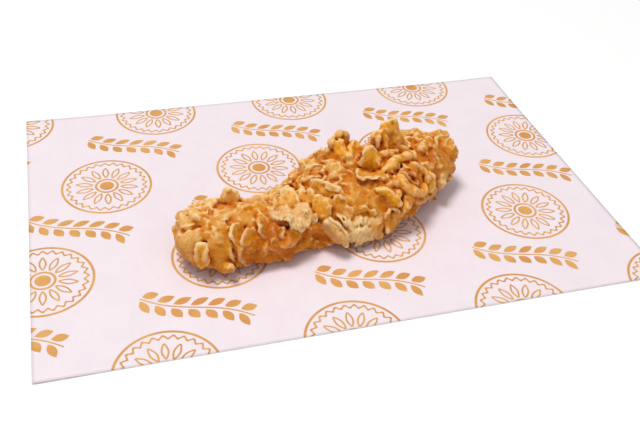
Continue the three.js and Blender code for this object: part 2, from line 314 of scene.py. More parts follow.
def add_lobe(field, along, around, sunk, radii, blend=1.6):
    """Joins an ellipsoid to the field. Its radii are along, around and outwards."""
    ahead, onward, outward = crust_axes(along, around)
    centre = body_point(along, around) - outward * sunk
    reach = max(radii) + 3
    first = np.clip(((centre - reach - LOW) / CELL).astype(int), 0, COUNT - 1)
    last = np.clip(((centre + reach - LOW) / CELL).astype(int) + 1, 1, COUNT)
    cut = tuple(slice(a, b) for a, b in zip(first, last))
    x, y, z = np.meshgrid(*[AXES[k][cut[k]] - centre[k] for k in range(3)], indexing="ij")
    parts = []
    for axis, radius in zip((ahead, onward, outward), radii):
        parts.append((x * axis[0] + y * axis[1] + z * axis[2], radius))
    near = np.sqrt(sum((p / r) ** 2 for p, r in parts))
    steep = np.sqrt(sum((p / r**2) ** 2 for p, r in parts))
    distance = near * (near - 1) / np.clip(steep, 1e-3, None)
    field[cut] = joined(field[cut], distance.astype(np.float32), blend)


# Broad lumps: along, around, how far the centre is sunk, radii along, around and outwards.
LUMPS = [
    (7.4, 24, 4, (7, 8, 6)),
    (6, 80, 4, (6, 6.5, 5)),
    (19, 18, 5, (7.5, 9, 7)),
    (18, 346, 3.5, (7, 6, 5)),
    (27, 358, 3.5, (7, 6, 5)),
    (36, 8, 4, (6, 7, 5)),
    (41, 14, 4.5, (9, 8, 6)),
    (43, 350, 3.5, (8, 5, 5)),
    (64, 352, 3.5, (7, 5.5, 5.5)),
    (73, 346, 2.5, (8, 6, 5.5)),
    (81, 348, 3, (7, 6, 5.5)),
    (50, 125, 4, (7, 7, 6)),
    (60, 130, 3.5, (8, 7.5, 6.5)),
    (70, 128, 3.5, (8, 8, 6.5)),
    (79, 120, 4, (8, 7, 6)),
    (76, 98, 4, (6, 8, 5.5)),
    (83, 100, 4, (5, 7, 5.5)),
    (125.5, 42, 5.5, (6.5, 11, 6.5)),
    (125.5, 92, 5, (6.5, 9, 5.5)),
    (99, 8, 3.5, (5.5, 5, 5)),
    (107, 358, 3.5, (6, 5, 5)),
    (116, 354, 3.5, (5, 5, 4.5)),
    (38, 190, 4, (8, 7, 6)),
    (98, 176, 4, (8, 7, 5.5)),
    (120, 168, 4, (7, 8, 5.5)),
    (16, 176, 4, (7, 8, 5.5)),
]


class Stamps:
    """Small balls laid side by side to make thin flakes, curls and ridges."""

    def __init__(self):
        self.rows = []

    def add(self, points, radius, rim, tone):
        points = np.asarray(points, float).reshape(-1, 3)
        one = np.ones(len(points))
        columns = [np.ravel(v) * one for v in (radius, rim, tone)]
        self.rows.append(np.column_stack([points] + columns))

    def fields(self, shake):
        """Distance outside the balls, and the rim and tone of those near each cell."""
        rows = np.vstack(self.rows).astype(np.float32)
        push, swell = shake(rows[:, :3])
        rows[:, :3] += push
        rows[:, 3] += swell * (0.06 + 0.1 * rows[:, 3])
        distance = np.full(COUNT, 9, np.float32).ravel()
        weight = np.zeros(distance.shape, np.float32)
        rim = np.zeros(distance.shape, np.float32)
        tone = np.zeros(distance.shape, np.float32)
        stride = np.array([COUNT[1] * COUNT[2], COUNT[2], 1])
        margin = 1.0
        for low, high in ((0, 0.6), (0.6, 0.9), (0.9, 1.3), (1.3, 1.9), (1.9, 9)):
            part = rows[(rows[:, 3] > low) & (rows[:, 3] <= high)]
            if not len(part):
                continue
            reach = math.ceil((part[:, 3].max() + margin) / CELL)
            home = np.round((part[:, :3] - LOW) / CELL).astype(int)
            inside = ((home > reach) & (home < COUNT - 1 - reach)).all(1)
            part, home = part[inside], home[inside]
            rest = (part[:, :3] - (LOW + home * CELL)).astype(np.float32)
            flat = (home * stride).sum(1)
            steps = np.arange(-reach, reach + 1)
            for i in steps:
                for j in steps:
                    for k in steps:
                        if i * i + j * j + k * k > (reach + 0.8) ** 2:
                            continue
                        away = np.array([i, j, k], np.float32) * CELL - rest
                        gap = np.sqrt((away**2).sum(1)) - part[:, 3]
                        at = flat + i * stride[0] + j * stride[1] + k
                        np.minimum.at(distance, at, gap)
                        near = np.clip(1 - np.abs(gap) / margin, 0, 1) ** 3
                        np.add.at(weight, at, near)
                        np.add.at(rim, at, near * part[:, 4])
                        np.add.at(tone, at, near * part[:, 5])
        weight = np.maximum(weight, 0.1)
        return [v.reshape(COUNT) for v in (distance, rim / weight, tone / weight)]


def shaking(seed):
    """A function that moves and swells balls a little, so that no flake is regular."""
    moves = [wander(4.5, seed + k) for k in range(3)]
    jolts = [wander(2.0, seed + 3 + k) for k in range(3)]
    sizes = wander(2.4, seed + 6)

    def shake(points):
        push = [0.45 * sample(m, points) + 0.16 * sample(j, points) for m, j in zip(moves, jolts)]
        return np.stack(push, -1), np.clip(sample(sizes, points), -1.5, 2)

    return shake


def smooth_path(points, count):
    """Evenly spaced points on a smooth curve through the given ones."""
    dense = curve_through(points, 24)
    arc = arc_along(dense)
    return points_at(np.linspace(0, arc[-1], count), arc, dense)


def path_length(points):
    return np.linalg.norm(np.diff(np.array(points), axis=0), axis=1).sum()


SPACING = 0.32  # between the balls of a flake or a curl
STRING_PITCH = 1.7  # between the fine strings across a flake


def add_sheet(
    stamps, root, rim, thick=1.4, bulge=0.0, tone=0.0, bead=0.3, corner=6.0, ripple=0.3, wave=5.0,
    phase=0.0, grain=0.0,
):
    """A flake from its root to its free rim, both given as points from one side to the other.

    bulge arches it outwards, ripple waves its rim, bead thickens the rim, a low corner rounds
    its two corners, and grain lays fine strings across it.
    """
    wide = max(path_length(root), path_length(rim))
    across_count = max(5, int(wide / SPACING))
    start, end = smooth_path(root, across_count), smooth_path(rim, across_count)
    tall = np.linalg.norm(end - start, axis=1).max()
    end = end - thick / 2 * unit(end - start + 1e-6)
    inset = thick / 2 * min(1, wide / 3 / thick)
    place = np.linspace(inset / wide, 1 - inset / wide, across_count) * (across_count - 1)
    start, end = (points_at(place, np.arange(across_count), path) for path in (start, end))
    up = np.linspace(-0.2, 1, max(4, int(1.2 * tall / SPACING)))[:, None]
    side = np.linspace(-1, 1, across_count)[None]
    share = up * (1 - np.abs(side) ** corner) ** 0.5
    points = start + share[..., None] * (end - start)
    face = unit(np.cross(np.gradient(points, axis=1), np.gradient(points, axis=0)) + 1e-9)
    arc = side * wide / 2
    lifted = np.clip(share, 0, 1)
    shift = bulge * np.sin(math.pi * lifted)
    shift = shift + ripple * np.sin(math.tau * arc / wave + phase) * lifted**1.5
    shift = shift + grain * np.sin(math.tau * arc / STRING_PITCH + 2 * lifted) * lifted
    edge = np.minimum((1 - up) * tall, (1 - np.abs(side)) * wide / 2)
    # Nearness to the rim, 1 at it: it shapes the bead, sharpens the flake's blend at its rim and sets
    # where the material paints a rim highlight.
    near_rim = np.exp(-((edge / max(0.9, thick / 2)) ** 2))
    thinning = (0.75 - 0.5 * bead) * lifted**1.5
    radius = thick / 2 * (1.25 - thinning - 0.3 * bead * (1 - near_rim) * lifted)
    stamps.add(points + shift[..., None] * face, radius, near_rim, tone)


def add_curl(stamps, through, radius, tone=0.0, taper=0.35, bumps=0.08, phase=0.0, rim=0.6):
    """A round ridge through the given points."""
    count = max(3, int(path_length(through) / SPACING))
    path = smooth_path(through, count)
    share = np.linspace(0, 1, count)
    swell = 1 - taper * np.abs(2 * share - 1) ** 2.5
    swell = swell * (1 + bumps * np.sin(share * count * SPACING * 1.3 + phase))
    stamps.add(path, radius * swell, rim, tone)


IMAGE_WIDTH = 640  # pixels
IMAGE_MIDDLE = (320, 213)
FOCAL = CAMERA_LENS / SENSOR_WIDTH * IMAGE_WIDTH  # pixels
SIGHT_STEPS = np.arange(230, 470, 0.4)  # distances from the camera that reach past the tender


def sight_line(right, down):
    """Points along the camera's ray through a pixel of the photograph."""
    across_view = (right - IMAGE_MIDDLE[0]) / FOCAL
    down_view = (down - IMAGE_MIDDLE[1]) / FOCAL
    aside = across_view * np.array(CAMERA_RIGHT)
    ray = np.array(CAMERA_AHEAD) + aside + down_view * np.array(CAMERA_DOWN)
    return np.array(CAMERA_AT) + SIGHT_STEPS[:, None] * ray


def crossing(line, values):
    """The first point of a line at which the values fall to 0."""
    falls = np.nonzero((values[:-1] > 0) & (values[1:] <= 0))[0]
    if not len(falls):
        return line[int(np.argmin(np.abs(values)))]
    i = falls[0]
    share = values[i] / (values[i] - values[i + 1])
    return line[i] + share * (line[i + 1] - line[i])


def seen_on(field, places):
    """Points that the camera sees at (right, down), `height` mm outside a distance field."""
    points = []
    for right, down, height in places:
        line = sight_line(right, down)
        points.append(crossing(line, sample(field, line) - height))
    return points


def seen_over(places):
    """Points that the camera sees at (right, down), `side` mm to the far side of the spine."""
    points = []
    for right, down, side in places:
        line = sight_line(right, down)
        points.append(crossing(line, side - along_and_across(line)[1]))
    return points


# What the camera sees on the crust. A place is (right, down, height): the photograph's pixel,
# and how many mm outside the crust's base the point lies. Under "over", the third number is
# instead how many mm the point lies to the far side of the spine.
SHEETS = {
    # left end
    "ear": dict(
        root=[(198, 261, 1.8), (203, 263, 2), (209, 261, 1.8)],
        rim=[(196.5, 246, 3.4), (199, 242.5, 3.8), (206, 241.5, 3.8), (210.5, 246, 3.4)],
        thick=3, corner=12, ripple=0, tone=0.6, bead=0.4, bulge=0.8,
    ),
    "left_spike": dict(
        root=[(178, 216, 0), (184, 216, 0)], rim=[(180, 210, 1.2), (183, 210, 1.2)], thick=1.8, tone=0.2,
    ),
    "left_plate": dict(
        root=[(222, 200, 0), (231, 200, 0.3), (238, 205, 0.3)],
        rim=[(211, 213, 0.9), (216, 219.5, 1.3), (225, 221, 1.5), (234, 216, 1.2)],
        thick=1.8, bulge=0.8, tone=-0.2,
    ),
    "left_hook": dict(
        root=[(211, 222, 0.5), (216, 219, 0.5)], rim=[(216, 227, 1.8), (221, 226, 2), (223, 221, 1.6)],
        thick=1.3,
    ),
    "left_crest": dict(
        root=[(221, 203, 0), (229, 203, 0), (238, 203, 0)],
        over=[(221.5, 196, 7), (224.5, 190.5, 7.5), (229, 186.5, 8), (235, 187.3, 8), (237.3, 195, 7)],
        thick=3.5, corner=30, tone=0.5, ripple=0.4, wave=4,
    ),
    "crest_lip": dict(
        root=[(226, 199, 1), (234, 199, 1)], rim=[(227, 193.5, 2.6), (233, 193, 2.6)], thick=1.5,
        tone=0.7,
    ),
    "lens": dict(
        root=[(241, 224, 0), (242.5, 230, -0.5), (242.5, 237, -0.5), (241, 244, 0), (240, 248, 0.5)],
        rim=[(236, 222.5, 2), (231.5, 228, 3), (231, 235, 3.2), (233.5, 242, 2.8), (238.5, 248.5, 1.2)],
        thick=1.3, corner=9, ripple=0, tone=0.1, bead=0.5,
    ),
    "crescent": dict(
        root=[(256.5, 229, 0.5), (255, 236, -0.5), (252.5, 242, -0.5), (250, 248, 0)],
        rim=[(254.5, 226, 2), (248.5, 228, 3), (243.5, 234.5, 3.4), (240.5, 242, 3), (239.5, 250, 1.4)],
        thick=1.4, corner=9, ripple=0, tone=0.1, bead=0.5,
    ),
    "plane_edge": dict(
        root=[(264, 211, 0), (267, 220, 0), (268, 229, 0), (268, 237, 0)],
        rim=[(257, 209, 1.6), (257.5, 218, 2), (258.5, 228, 2.2), (262.5, 238, 1.4)],
        thick=1.3, corner=9, tone=0.2,
    ),
    # the thin sheet with a hanging frill
    "frill": dict(
        root=[
            (272, 202, 0.8), (277, 206, 1.2), (284, 207, 1.8), (292, 207.5, 2.2), (300, 207.5, 2.6),
            (310, 208, 2.6),
        ],
        rim=[
            (270, 205, 2), (271.5, 213.5, 3), (276, 219, 3.4), (284, 221, 3.8), (290, 224, 4),
            (295, 229, 4.2), (301, 232, 4), (309.5, 232, 3.6),
        ],
        thick=1.5, corner=20, ripple=0.5, wave=6, tone=-0.6, grain=0.35, bead=0.3, bulge=0.7,
    ),
    "frill_shoulder": dict(
        root=[(258, 199, 0), (264, 198, 0), (270, 199, 0)],
        rim=[(259, 204, 0.8), (263, 206, 1.2), (268, 205.5, 1.4), (271, 204, 1.4)], thick=1.2, tone=-0.1,
    ),
    "loop": dict(
        root=[(279, 238, 0), (279, 243, -0.3), (279, 248, -0.3), (277, 253, 0)],
        rim=[(275.5, 236.5, 1.4), (271.5, 242, 2.4), (272, 249, 2.2), (275, 254, 1.2)],
        thick=1.2, corner=9, tone=0.1, bead=0.5,
    ),
    "cheek_fold": dict(
        root=[(297, 233, 0), (290, 237, 0), (283, 243, 0), (279, 249, 0)],
        rim=[(302.5, 233, 2.2), (301, 240, 2.4), (293, 247, 2.2), (284, 253, 1.6)],
        thick=1.7, corner=7, tone=0.2, bulge=0.6,
    ),
    "cheek_leaf": dict(
        root=[(310, 240, 0), (303, 245, 0), (294, 251, 0)],
        rim=[(309, 246, 1.6), (303, 251.5, 1.8), (292, 256, 1.4)], thick=1.6, tone=0.4,
    ),
    # petals over the middle
    "petal_1": dict(
        root=[(279.5, 206, 0.8), (289, 208, 1.2), (299.5, 207, 1.2)],
        rim=[(278, 193, 3.6), (281, 188, 4.6), (287.5, 187, 5), (294.5, 191, 4.6), (300.5, 199, 3.6)],
        thick=1.9, corner=40, ripple=0.3, wave=7, tone=0.4, bead=0.4,
    ),
    "petal_2": dict(
        root=[(299, 204, 0.8), (307, 205, 0.8)],
        rim=[(299.5, 191, 4.6), (302.5, 187.4, 5), (307.5, 189, 4.8)],
        thick=1.9, corner=10, ripple=0, tone=0.4, bead=0.5,
    ),
    "petal_3": dict(
        root=[(307, 206, 1), (317, 206, 1)], rim=[(307, 190, 4.8), (311, 187, 5.4), (316.5, 190, 4.8)],
        thick=1.9, corner=10, ripple=0, tone=0.4, bead=0.5,
    ),
    "folded_leaf": dict(
        root=[(310.5, 190, 1.5), (318, 192, 1), (328, 194, 1), (339, 194, 1)],
        rim=[(312.5, 177, 4.4), (320, 179, 4.8), (331, 183.5, 4.8), (341.5, 187.5, 4.4)],
        thick=1.5, corner=24, ripple=0.3, wave=9, tone=0.4, bead=0.6,
    ),
    "leaf_lip": dict(
        root=[(342, 188, 4.4), (334, 185.5, 4.4), (327, 183, 4.2)],
        rim=[(339, 192.5, 4), (331, 190.5, 4), (324, 190, 3.6)], thick=1.2, tone=0, bead=0.5,
    ),
    "petal_4": dict(
        root=[(312, 210, 1), (322, 214, 1), (333, 210, 0.8)],
        rim=[(314.5, 199, 3.2), (318.5, 194, 4), (325, 192.5, 4.2), (330.5, 196.5, 3.6), (333, 203, 2.6)],
        thick=2.2, corner=20, ripple=0.4, wave=6, bulge=0.9, tone=0.4, bead=0.3,
    ),
    "petal_5": dict(
        root=[(334, 208, 0), (341, 211, 0), (346, 210, 0)],
        rim=[(336.5, 195, 2.4), (341, 192.5, 3), (346, 196, 2.8), (347.5, 204, 2)], thick=1.9,
        corner=12, tone=0, bead=0.3,
    ),
    "petal_6": dict(
        root=[(343, 214, 0), (347, 217, 0), (353, 216, 0)],
        rim=[(344, 206.5, 2), (349, 204.5, 2.4), (353, 210, 2)], thick=1.8, corner=10, tone=-0.1,
        bead=0.3,
    ),
    "middle_wedge": dict(
        root=[(324, 220, 0.8), (331, 229, 0.8), (339, 238, 0.8), (346, 243, 0.5)],
        rim=[(330, 216.5, 2.6), (338, 223, 3.4), (347, 232, 3.4), (353, 240, 2.2)],
        thick=2.6, corner=8, ripple=0.2, bulge=1.5, tone=-0.5, bead=0.2, grain=0.35,
    ),
    # around the smooth hollow
    "ledge": dict(
        root=[(359, 169.5, 0.3), (363, 174, 0.6), (368, 174, 0.6), (376, 174, 0.6), (384, 177, 0.6)],
        rim=[
            (356, 172.5, 2.6), (358, 179.5, 3), (363, 182, 3), (366.5, 178.5, 2.6), (374, 177.5, 2.8),
            (381, 179.5, 2.6), (386, 183, 2),
        ],
        thick=1.3, corner=12, ripple=0.3, wave=4, tone=0.1, bead=0.6,
    ),
    "tongue": dict(
        root=[(379.5, 188.5, 0.3), (386, 194, 0.3), (393, 199.5, 0.3), (401, 204.5, 0.3)],
        rim=[(376, 183.5, 2.4), (384.5, 186.3, 3.4), (394, 191.5, 3.6), (403, 199, 3)],
        thick=2.3, corner=7, ripple=0.15, bulge=0.8, tone=0.9, bead=0.3,
    ),
    "inner_lip": dict(
        root=[(357, 209.5, -0.3), (364, 208.5, -0.3), (369, 210, -0.3), (376, 211.5, -0.3)],
        rim=[(357, 206, 0.3), (363, 205, 0.6), (368.5, 207, 0.6), (376, 208, 0.3)],
        thick=1.0, corner=12, ripple=0.2, wave=4, tone=0, bead=0.4,
    ),
    "flap": dict(
        root=[(386, 231, 0), (391, 228, 0), (396, 224, 0), (399, 219, 0)],
        rim=[(384, 218, 0.8), (388, 212, 1.5), (394, 208.5, 1.9), (399, 208, 1.8), (401, 213, 1.2)],
        thick=1.6, corner=16, ripple=0.5, wave=3.5, tone=0.1, bead=0.4,
    ),
    "flap_foot": dict(
        root=[(385, 224, 0), (391, 222, 0)], rim=[(385, 233, 1.2), (389, 233.5, 1.4), (394, 229, 1.2)],
        thick=1.5,
    ),
    "blip": dict(
        root=[(371, 229, 0), (377, 226, 0), (382, 225, 0)],
        rim=[(372, 236, 1), (377, 237.5, 1.4), (382, 234, 1.4), (384, 228, 1)], thick=1.2, ripple=0.4,
        bead=0.5,
    ),
    # crests along the back
    "back_crest": dict(
        root=[(329, 155, -0.5), (338, 155, -0.5), (349, 154, -0.5)],
        over=[(331.5, 140, 12), (334, 134, 13), (339, 130.5, 13), (343.5, 134.5, 13), (347, 140, 12)],
        thick=2.8, corner=14, ripple=0.5, wave=4, tone=0.8, bead=0,
    ),
    "back_crest_front": dict(
        root=[(334, 156, 0), (345, 156, 0)], over=[(335, 141, 9), (340, 136, 10), (344, 142, 9)],
        thick=2.0, ripple=0.7, wave=3, tone=0.7, bead=0,
    ),
    "back_crest_right": dict(
        root=[(346, 155, 0), (353, 154, 0), (360, 152, 0)],
        over=[(347, 143, 9), (352, 138.5, 10), (357, 139, 10), (359, 144, 9)],
        thick=2.3, corner=12, ripple=0.5, wave=3.5, tone=1.0, bead=0.2,
    ),
    "back_crest_left": dict(
        root=[(324, 156, 0), (332, 156, 0), (339, 156, 0)],
        over=[(326, 148, 11), (330, 143.5, 12), (335, 143, 12), (339, 147, 11)], thick=2.5, ripple=0.4,
        tone=0.4, bead=0,
    ),
    "back_crumbs": dict(
        root=[(311, 158, 0), (319, 157, 0), (328, 156, 0)],
        over=[(313, 150, 14), (319, 147.5, 14.5), (325, 149, 14)], thick=2.2, ripple=0.6, wave=3,
        tone=0.3, bead=0,
    ),
    "fin": dict(
        root=[(360, 165, 0.3), (366, 167, 0.3), (372, 168, 0.3), (377.5, 168, 0.3)],
        over=[
            (361.5, 153.5, -6), (363, 150, -5.5), (369, 143.5, -5), (373.5, 147.5, -5.5),
            (375.3, 154, -7),
        ],
        thick=1.8, corner=30, ripple=0, tone=0.9, bead=0.3, bulge=0.9,
    ),
    "tall_crest_base": dict(
        root=[(374, 148, -0.5), (386, 150, -0.5), (402, 146, -0.5)],
        over=[
            (372.5, 138, 2), (373.5, 132.5, 2.5), (379, 128, 3), (390, 126, 3), (397, 129.5, 2.5),
            (400.5, 138, 2),
        ],
        thick=4.4, corner=30, ripple=0.2, wave=5, tone=0.4, bead=0,
    ),
    "tall_crest": dict(
        root=[(379, 142, 3.5), (387, 143, 3.5), (395, 141, 3)],
        over=[
            (379.5, 125, 5), (382.5, 117.2, 5.5), (387.5, 115.8, 5.5), (393, 116, 5.5), (394.4, 124, 5),
        ],
        thick=3.2, corner=30, ripple=0.3, wave=5, tone=0.7, bead=0,
    ),
    # right end
    "top_ridge": dict(
        root=[(415, 144, 0), (424, 144, 0), (433, 144, 0)],
        rim=[(414.5, 138.5, 1.6), (423, 135.5, 2), (430, 135, 2), (434.5, 138.5, 1.8)], thick=2.0,
        tone=0.1,
    ),
    "far_edge": dict(
        root=[(427, 138, 0), (437, 136, 0), (447, 138, 0)],
        over=[(428, 133, 5), (435, 130.5, 6), (442, 130.5, 6), (449, 135, 5)], thick=1.8, tone=-0.2,
        ripple=0.3, wave=4,
    ),
    "outer_leaf": dict(
        root=[(427, 171, 0), (429, 178, 0), (429.5, 186, 0), (426, 194, 0)],
        rim=[(431.5, 168.5, 2.4), (436.5, 175.5, 3), (437.5, 186, 3), (433, 196, 2.2)],
        thick=1.9, corner=10, ripple=0, tone=0.8, bead=0.5, bulge=0.5,
    ),
    "finger_fold": dict(
        root=[(420, 168, 0), (427, 169, 0), (433, 167, 0)],
        rim=[(421, 161.5, 2), (427, 159, 2.4), (432, 160.5, 2)], thick=2.0, tone=0.2, bulge=0.5,
    ),
    "under_leaf": dict(
        root=[(413, 197, 0), (421, 198, 0), (428, 195, 0)],
        rim=[(415, 204, 1.4), (422, 205.5, 1.6), (430, 200, 1.6)], thick=2.0, tone=0.3,
    ),
    "low_lobe": dict(
        root=[(404, 198, 0.5), (409, 198, 0.5), (414, 199, 0.5)],
        rim=[(403, 205, 1.6), (408, 209.5, 2), (414, 206, 1.6)], thick=2.3, tone=0.7, bulge=0.8,
    ),
}

CURLS = {
    # left end
    "knob_ridge": dict(
        through=[(199, 220, 0.4), (203, 218, 1.2), (207, 221, 1), (206, 229, 0.3), (204, 239, -0.4)],
        radius=1.5,
    ),
    "small_lobe": dict(through=[(192, 213, 0.8), (196, 216, 1.2), (200, 219, 0.8)], radius=1.6, tone=0.1),
    "hook": dict(through=[(209, 222, 1), (213, 226, 1.6), (217, 231, 1)], radius=0.9),
    "left_top": dict(through=[(198, 209, 0.5), (206, 205, 1), (214, 203, 0.8)], radius=1.4, tone=-0.2),
    "wavy_ridge": dict(
        through=[(236, 203, 0.4), (242, 207, 1), (249, 204, 1), (256, 207, 0.6)], radius=1.2, tone=0.4,
    ),
    "ridge_2": dict(through=[(236, 199, 0), (245, 201, 0.4), (254, 199, 0)], radius=1.3, tone=0.3),
    "crescent_foot": dict(through=[(240.5, 248, 1.4), (240.5, 256, 1.2), (243, 265, 0.2)], radius=1.3),
    "belly_crease": dict(
        through=[(229, 244, 0.2), (232, 252, 0.6), (231, 262, 0.2)], radius=1.0, tone=0.2,
    ),
    "foot_ridge": dict(through=[(262, 254, 0), (268, 250, 0.6), (270, 243, 0.3)], radius=1.3, tone=0.4),
    "cheek_ridge": dict(
        through=[(284, 228, 0.3), (283, 235, 0.9), (285, 242, 0.6)], radius=1.2, tone=0.2,
    ),
    "under_frill": dict(through=[(291, 229, 0.5), (296, 235, 1), (298, 241, 0.6)], radius=1.1, tone=0.8),
    # strings in the middle
    "rib_1": dict(through=[(300, 205, 1.4), (302, 211, 2.4), (304, 218, 2.2)], radius=0.9, tone=-0.5),
    "rib_2": dict(through=[(309, 204, 1.4), (311, 211, 2), (313, 219, 1.6)], radius=1.1, tone=-0.3),
    "ridge_streak_1": dict(
        through=[(330, 217.5, 3.6), (338, 225, 5), (347, 234, 4.8)], radius=0.55, tone=-0.6,
    ),
    # right of the middle
    "crest_rib_1": dict(
        over=[(377.5, 147, 0.2), (378, 140, 1.2), (379, 134, 2.2)], radius=1.3, tone=0.3, rim=0.3,
    ),
    "crest_rib_2": dict(
        over=[(385, 148, 0.2), (384.5, 141, 1.3), (384, 133.5, 2.4)], radius=1.5, tone=0.4, rim=0.3,
    ),
    "crest_rib_3": dict(
        over=[(396, 147, 0.2), (395, 140, 1.4), (393, 132.5, 2.6)], radius=1.3, tone=0.3, rim=0.3,
    ),
    # crumbs that stand along the back
    "back_crumb_1": dict(
        over=[(333, 150, 10.5), (332.5, 142, 11.5), (333.5, 136, 12)], radius=1.5, tone=0.3, bumps=0.25,
    ),
    "back_crumb_2": dict(
        over=[(339, 150, 10), (337.5, 140, 11.5), (338.5, 132, 12)], radius=1.8, tone=0.5, bumps=0.25,
    ),
    "back_crumb_3": dict(
        over=[(344, 150, 10), (344, 142, 11), (342.5, 135, 12)], radius=1.5, tone=0.2, bumps=0.25,
    ),
    "back_crumb_4": dict(
        over=[(349.5, 151, 8), (350, 145, 9), (351, 141, 9.5)], radius=1.4, tone=0.7, bumps=0.25,
    ),
    "back_crumb_5": dict(
        over=[(355, 152, 7), (356, 147, 8), (356.5, 143.5, 8.5)], radius=1.4, tone=0.7, bumps=0.25,
    ),
    "back_crumb_6": dict(
        over=[(341, 151, 7), (341.5, 147, 8), (340.5, 141, 9)], radius=1.2, tone=0.9, bumps=0.25,
    ),
    "shoulder_ridge": dict(
        through=[(376, 151.5, 0.4), (384, 149, 1.2), (393, 147, 1.4), (405, 149, 0.6)], radius=1.8,
        tone=-0.1,
    ),
    "shoulder_ridge_2": dict(
        through=[(377, 157, 0.2), (386, 155, 0.8), (396, 152, 0.6)], radius=1.6, tone=0.3,
    ),
    "diagonal_ridge": dict(
        through=[(382, 172, 0.6), (388, 166.5, 1.6), (394, 161, 2), (401, 157.5, 1.6)], radius=1.9,
        tone=0.6,
    ),
    "diagonal_ridge_2": dict(
        through=[(387, 173, 0.4), (392, 169, 1.2), (398, 165, 0.8)], radius=1.4, tone=0.3,
    ),
    "nugget_1": dict(through=[(401, 160, 1.2), (405, 157.5, 2), (409, 157, 1.6)], radius=2.0, tone=0.5),
    "nugget_2": dict(
        through=[(410, 153, 0.6), (413.5, 156, 1.6), (415.5, 161, 1)], radius=1.8, tone=-0.1,
    ),
    "finger": dict(through=[(422, 154, 0.3), (422.5, 148, 1.3), (424, 142, 1.4)], radius=1.8, tone=-0.1),
    "big_curl": dict(
        through=[
            (398, 173, 1.4), (400, 180, 2.2), (404.5, 186.5, 2.8), (411, 191.5, 3), (418, 193, 3),
            (424, 190.5, 2.8),
            (425.5, 185.5, 2.2), (421, 184.5, 1.6),
        ],
        radius=2.2, tone=0.5, taper=0.25, bumps=0.03,
    ),
    "curl_arm": dict(through=[(397, 173, 1.6), (402, 174.5, 2.2), (406, 180, 1.8)], radius=1.6, tone=0.1),
    "hole_roof": dict(
        through=[
            (412, 165.5, 1), (418, 167, 2), (424, 170.5, 2.6), (427.5, 177, 2.4), (427.5, 184.5, 1.6),
        ],
        radius=1.7, tone=0.1, bumps=0.06,
    ),
    "hole_ridge": dict(
        through=[(408, 175.5, 0.4), (412, 171, 1.2), (417, 171.5, 1.6)], radius=1.0, tone=0.2,
    ),
    "small_ridge_1": dict(
        through=[(390, 172, 0.8), (393, 177.5, 1.6), (395, 183, 1)], radius=1.1, tone=0.1,
    ),
    "small_ridge_2": dict(
        through=[(393, 183, 0.8), (397, 186, 1.4), (400, 189, 0.8)], radius=1.3, tone=0.1,
    ),
    "end_rim": dict(
        through=[
            (434.5, 147, 0.2), (436.5, 140, 0.5), (442, 137, 0.6), (448.5, 139.5, 0.4), (452, 146, 0.1),
        ],
        radius=1.1, tone=0.1, rim=0.3,
    ),
    "end_knuckle": dict(
        through=[(440, 172, 0.2), (443, 180, 0.7), (441, 188, 0.4)], radius=1.9, tone=-0.4,
    ),
    "end_knuckle_2": dict(
        through=[(436, 190, 0.4), (440, 186, 0.8), (443, 179, 0.4)], radius=1.4, tone=-0.5,
    ),
    "low_ridge_1": dict(
        through=[(391, 214, 0.2), (399, 212, 0.8), (405, 209, 0.4)], radius=1.7, tone=0.2,
    ),
    "low_ridge_2": dict(through=[(404, 192, 0.6), (399, 196, 1), (397, 203, 0.6)], radius=1.5, tone=0.5),
    "end_seam": dict(through=[(437, 160, 0.2), (439, 168, 0.4), (444, 174, 0.2)], radius=1.2, tone=0.3),
}

# Thin strings side by side: where the first and the last run, how many, and their radius.
FIBRES = {
    "hollow_edge": (
        [(351, 218, -0.2), (351, 232, 0), (345, 245, -0.4)],
        [(383, 215, -0.2), (380, 226, 0), (373, 239, -0.4)], 17, 0.7,
    ),
    "ridge_foot": (
        [(338, 214, 1.2), (343, 221, 2), (349, 230, 1.6)],
        [(347, 213, 0.8), (350, 221, 1.4), (352, 230, 1)], 4, 0.75,
    ),
    "wedge_streaks": (
        [(331, 217, 3), (339, 226, 3.8), (349, 238, 3)],
        [(326, 222, 2.4), (333, 231, 3.2), (343, 241, 2.4)], 5, 0.6,
    ),
    "frill_streaks": (
        [(286, 209, 2.6), (291, 216, 3.8), (297, 226, 4.4)],
        [(303, 208, 3), (306, 215, 4), (308, 226, 4.2)], 7, 0.6,
    ),
    "under_petals": (
        [(311, 212, 1.6), (313, 217, 1.8), (314, 222, 1.4)],
        [(325, 212, 1.4), (324, 217, 1.6), (322, 222, 1.4)], 5, 0.9,
    ),
}

# Dark creases: where each runs, and its radius.
GROOVES = {
    "end_crease": ([(180, 229.5, 0.2), (190, 227, 0), (202, 225, 0.2)], 1.2),
    "dome_side": ([(205, 229, 0), (205, 238, 0), (203, 243, 0)], 1.0),
    "lens_gap": ([(247.5, 227, 0), (243.5, 236, -0.3), (241, 246, 0)], 1.2),
    "plane_side": ([(257, 212, 0), (256.5, 221, 0), (258, 231, 0)], 1.0),
    "under_frill": ([(281, 225, 0), (289, 229, 0), (297, 236, 0)], 1.4),
    "ridge_side": ([(312, 236, 0), (322, 238, 0), (333, 243, 0)], 1.6),
    "leaf_shade": ([(338, 186, 0), (344, 189, 0), (349, 193, 0)], 1.4),
    "pit": ([(409, 178, -0.5), (412, 181, -0.8), (416, 180, -0.5)], 2.0),
    "end_gap": ([(433, 148, 0), (432, 156, -0.2), (434, 166, 0)], 1.3),
    "shoulder_gap": ([(413.5, 140, 0.3), (414.5, 146, 0), (417, 151, 0)], 1.1),
    "crest_gap": ([(388.5, 146, 0.3), (388.5, 140, 1)], 0.8),
}


def known_grooves(base):
    """Distance outside the dark creases."""
    stamps = Stamps()
    for places, radius in GROOVES.values():
        add_curl(stamps, seen_on(base, places), radius, taper=0.7)
    return stamps.fields(shaking(GROOVE_SEED))[0]


def seen_path(base, spec, key):
    """The points of a spec, given over the back or else under `key`."""
    return seen_over(spec["over"]) if "over" in spec else seen_on(base, spec[key])


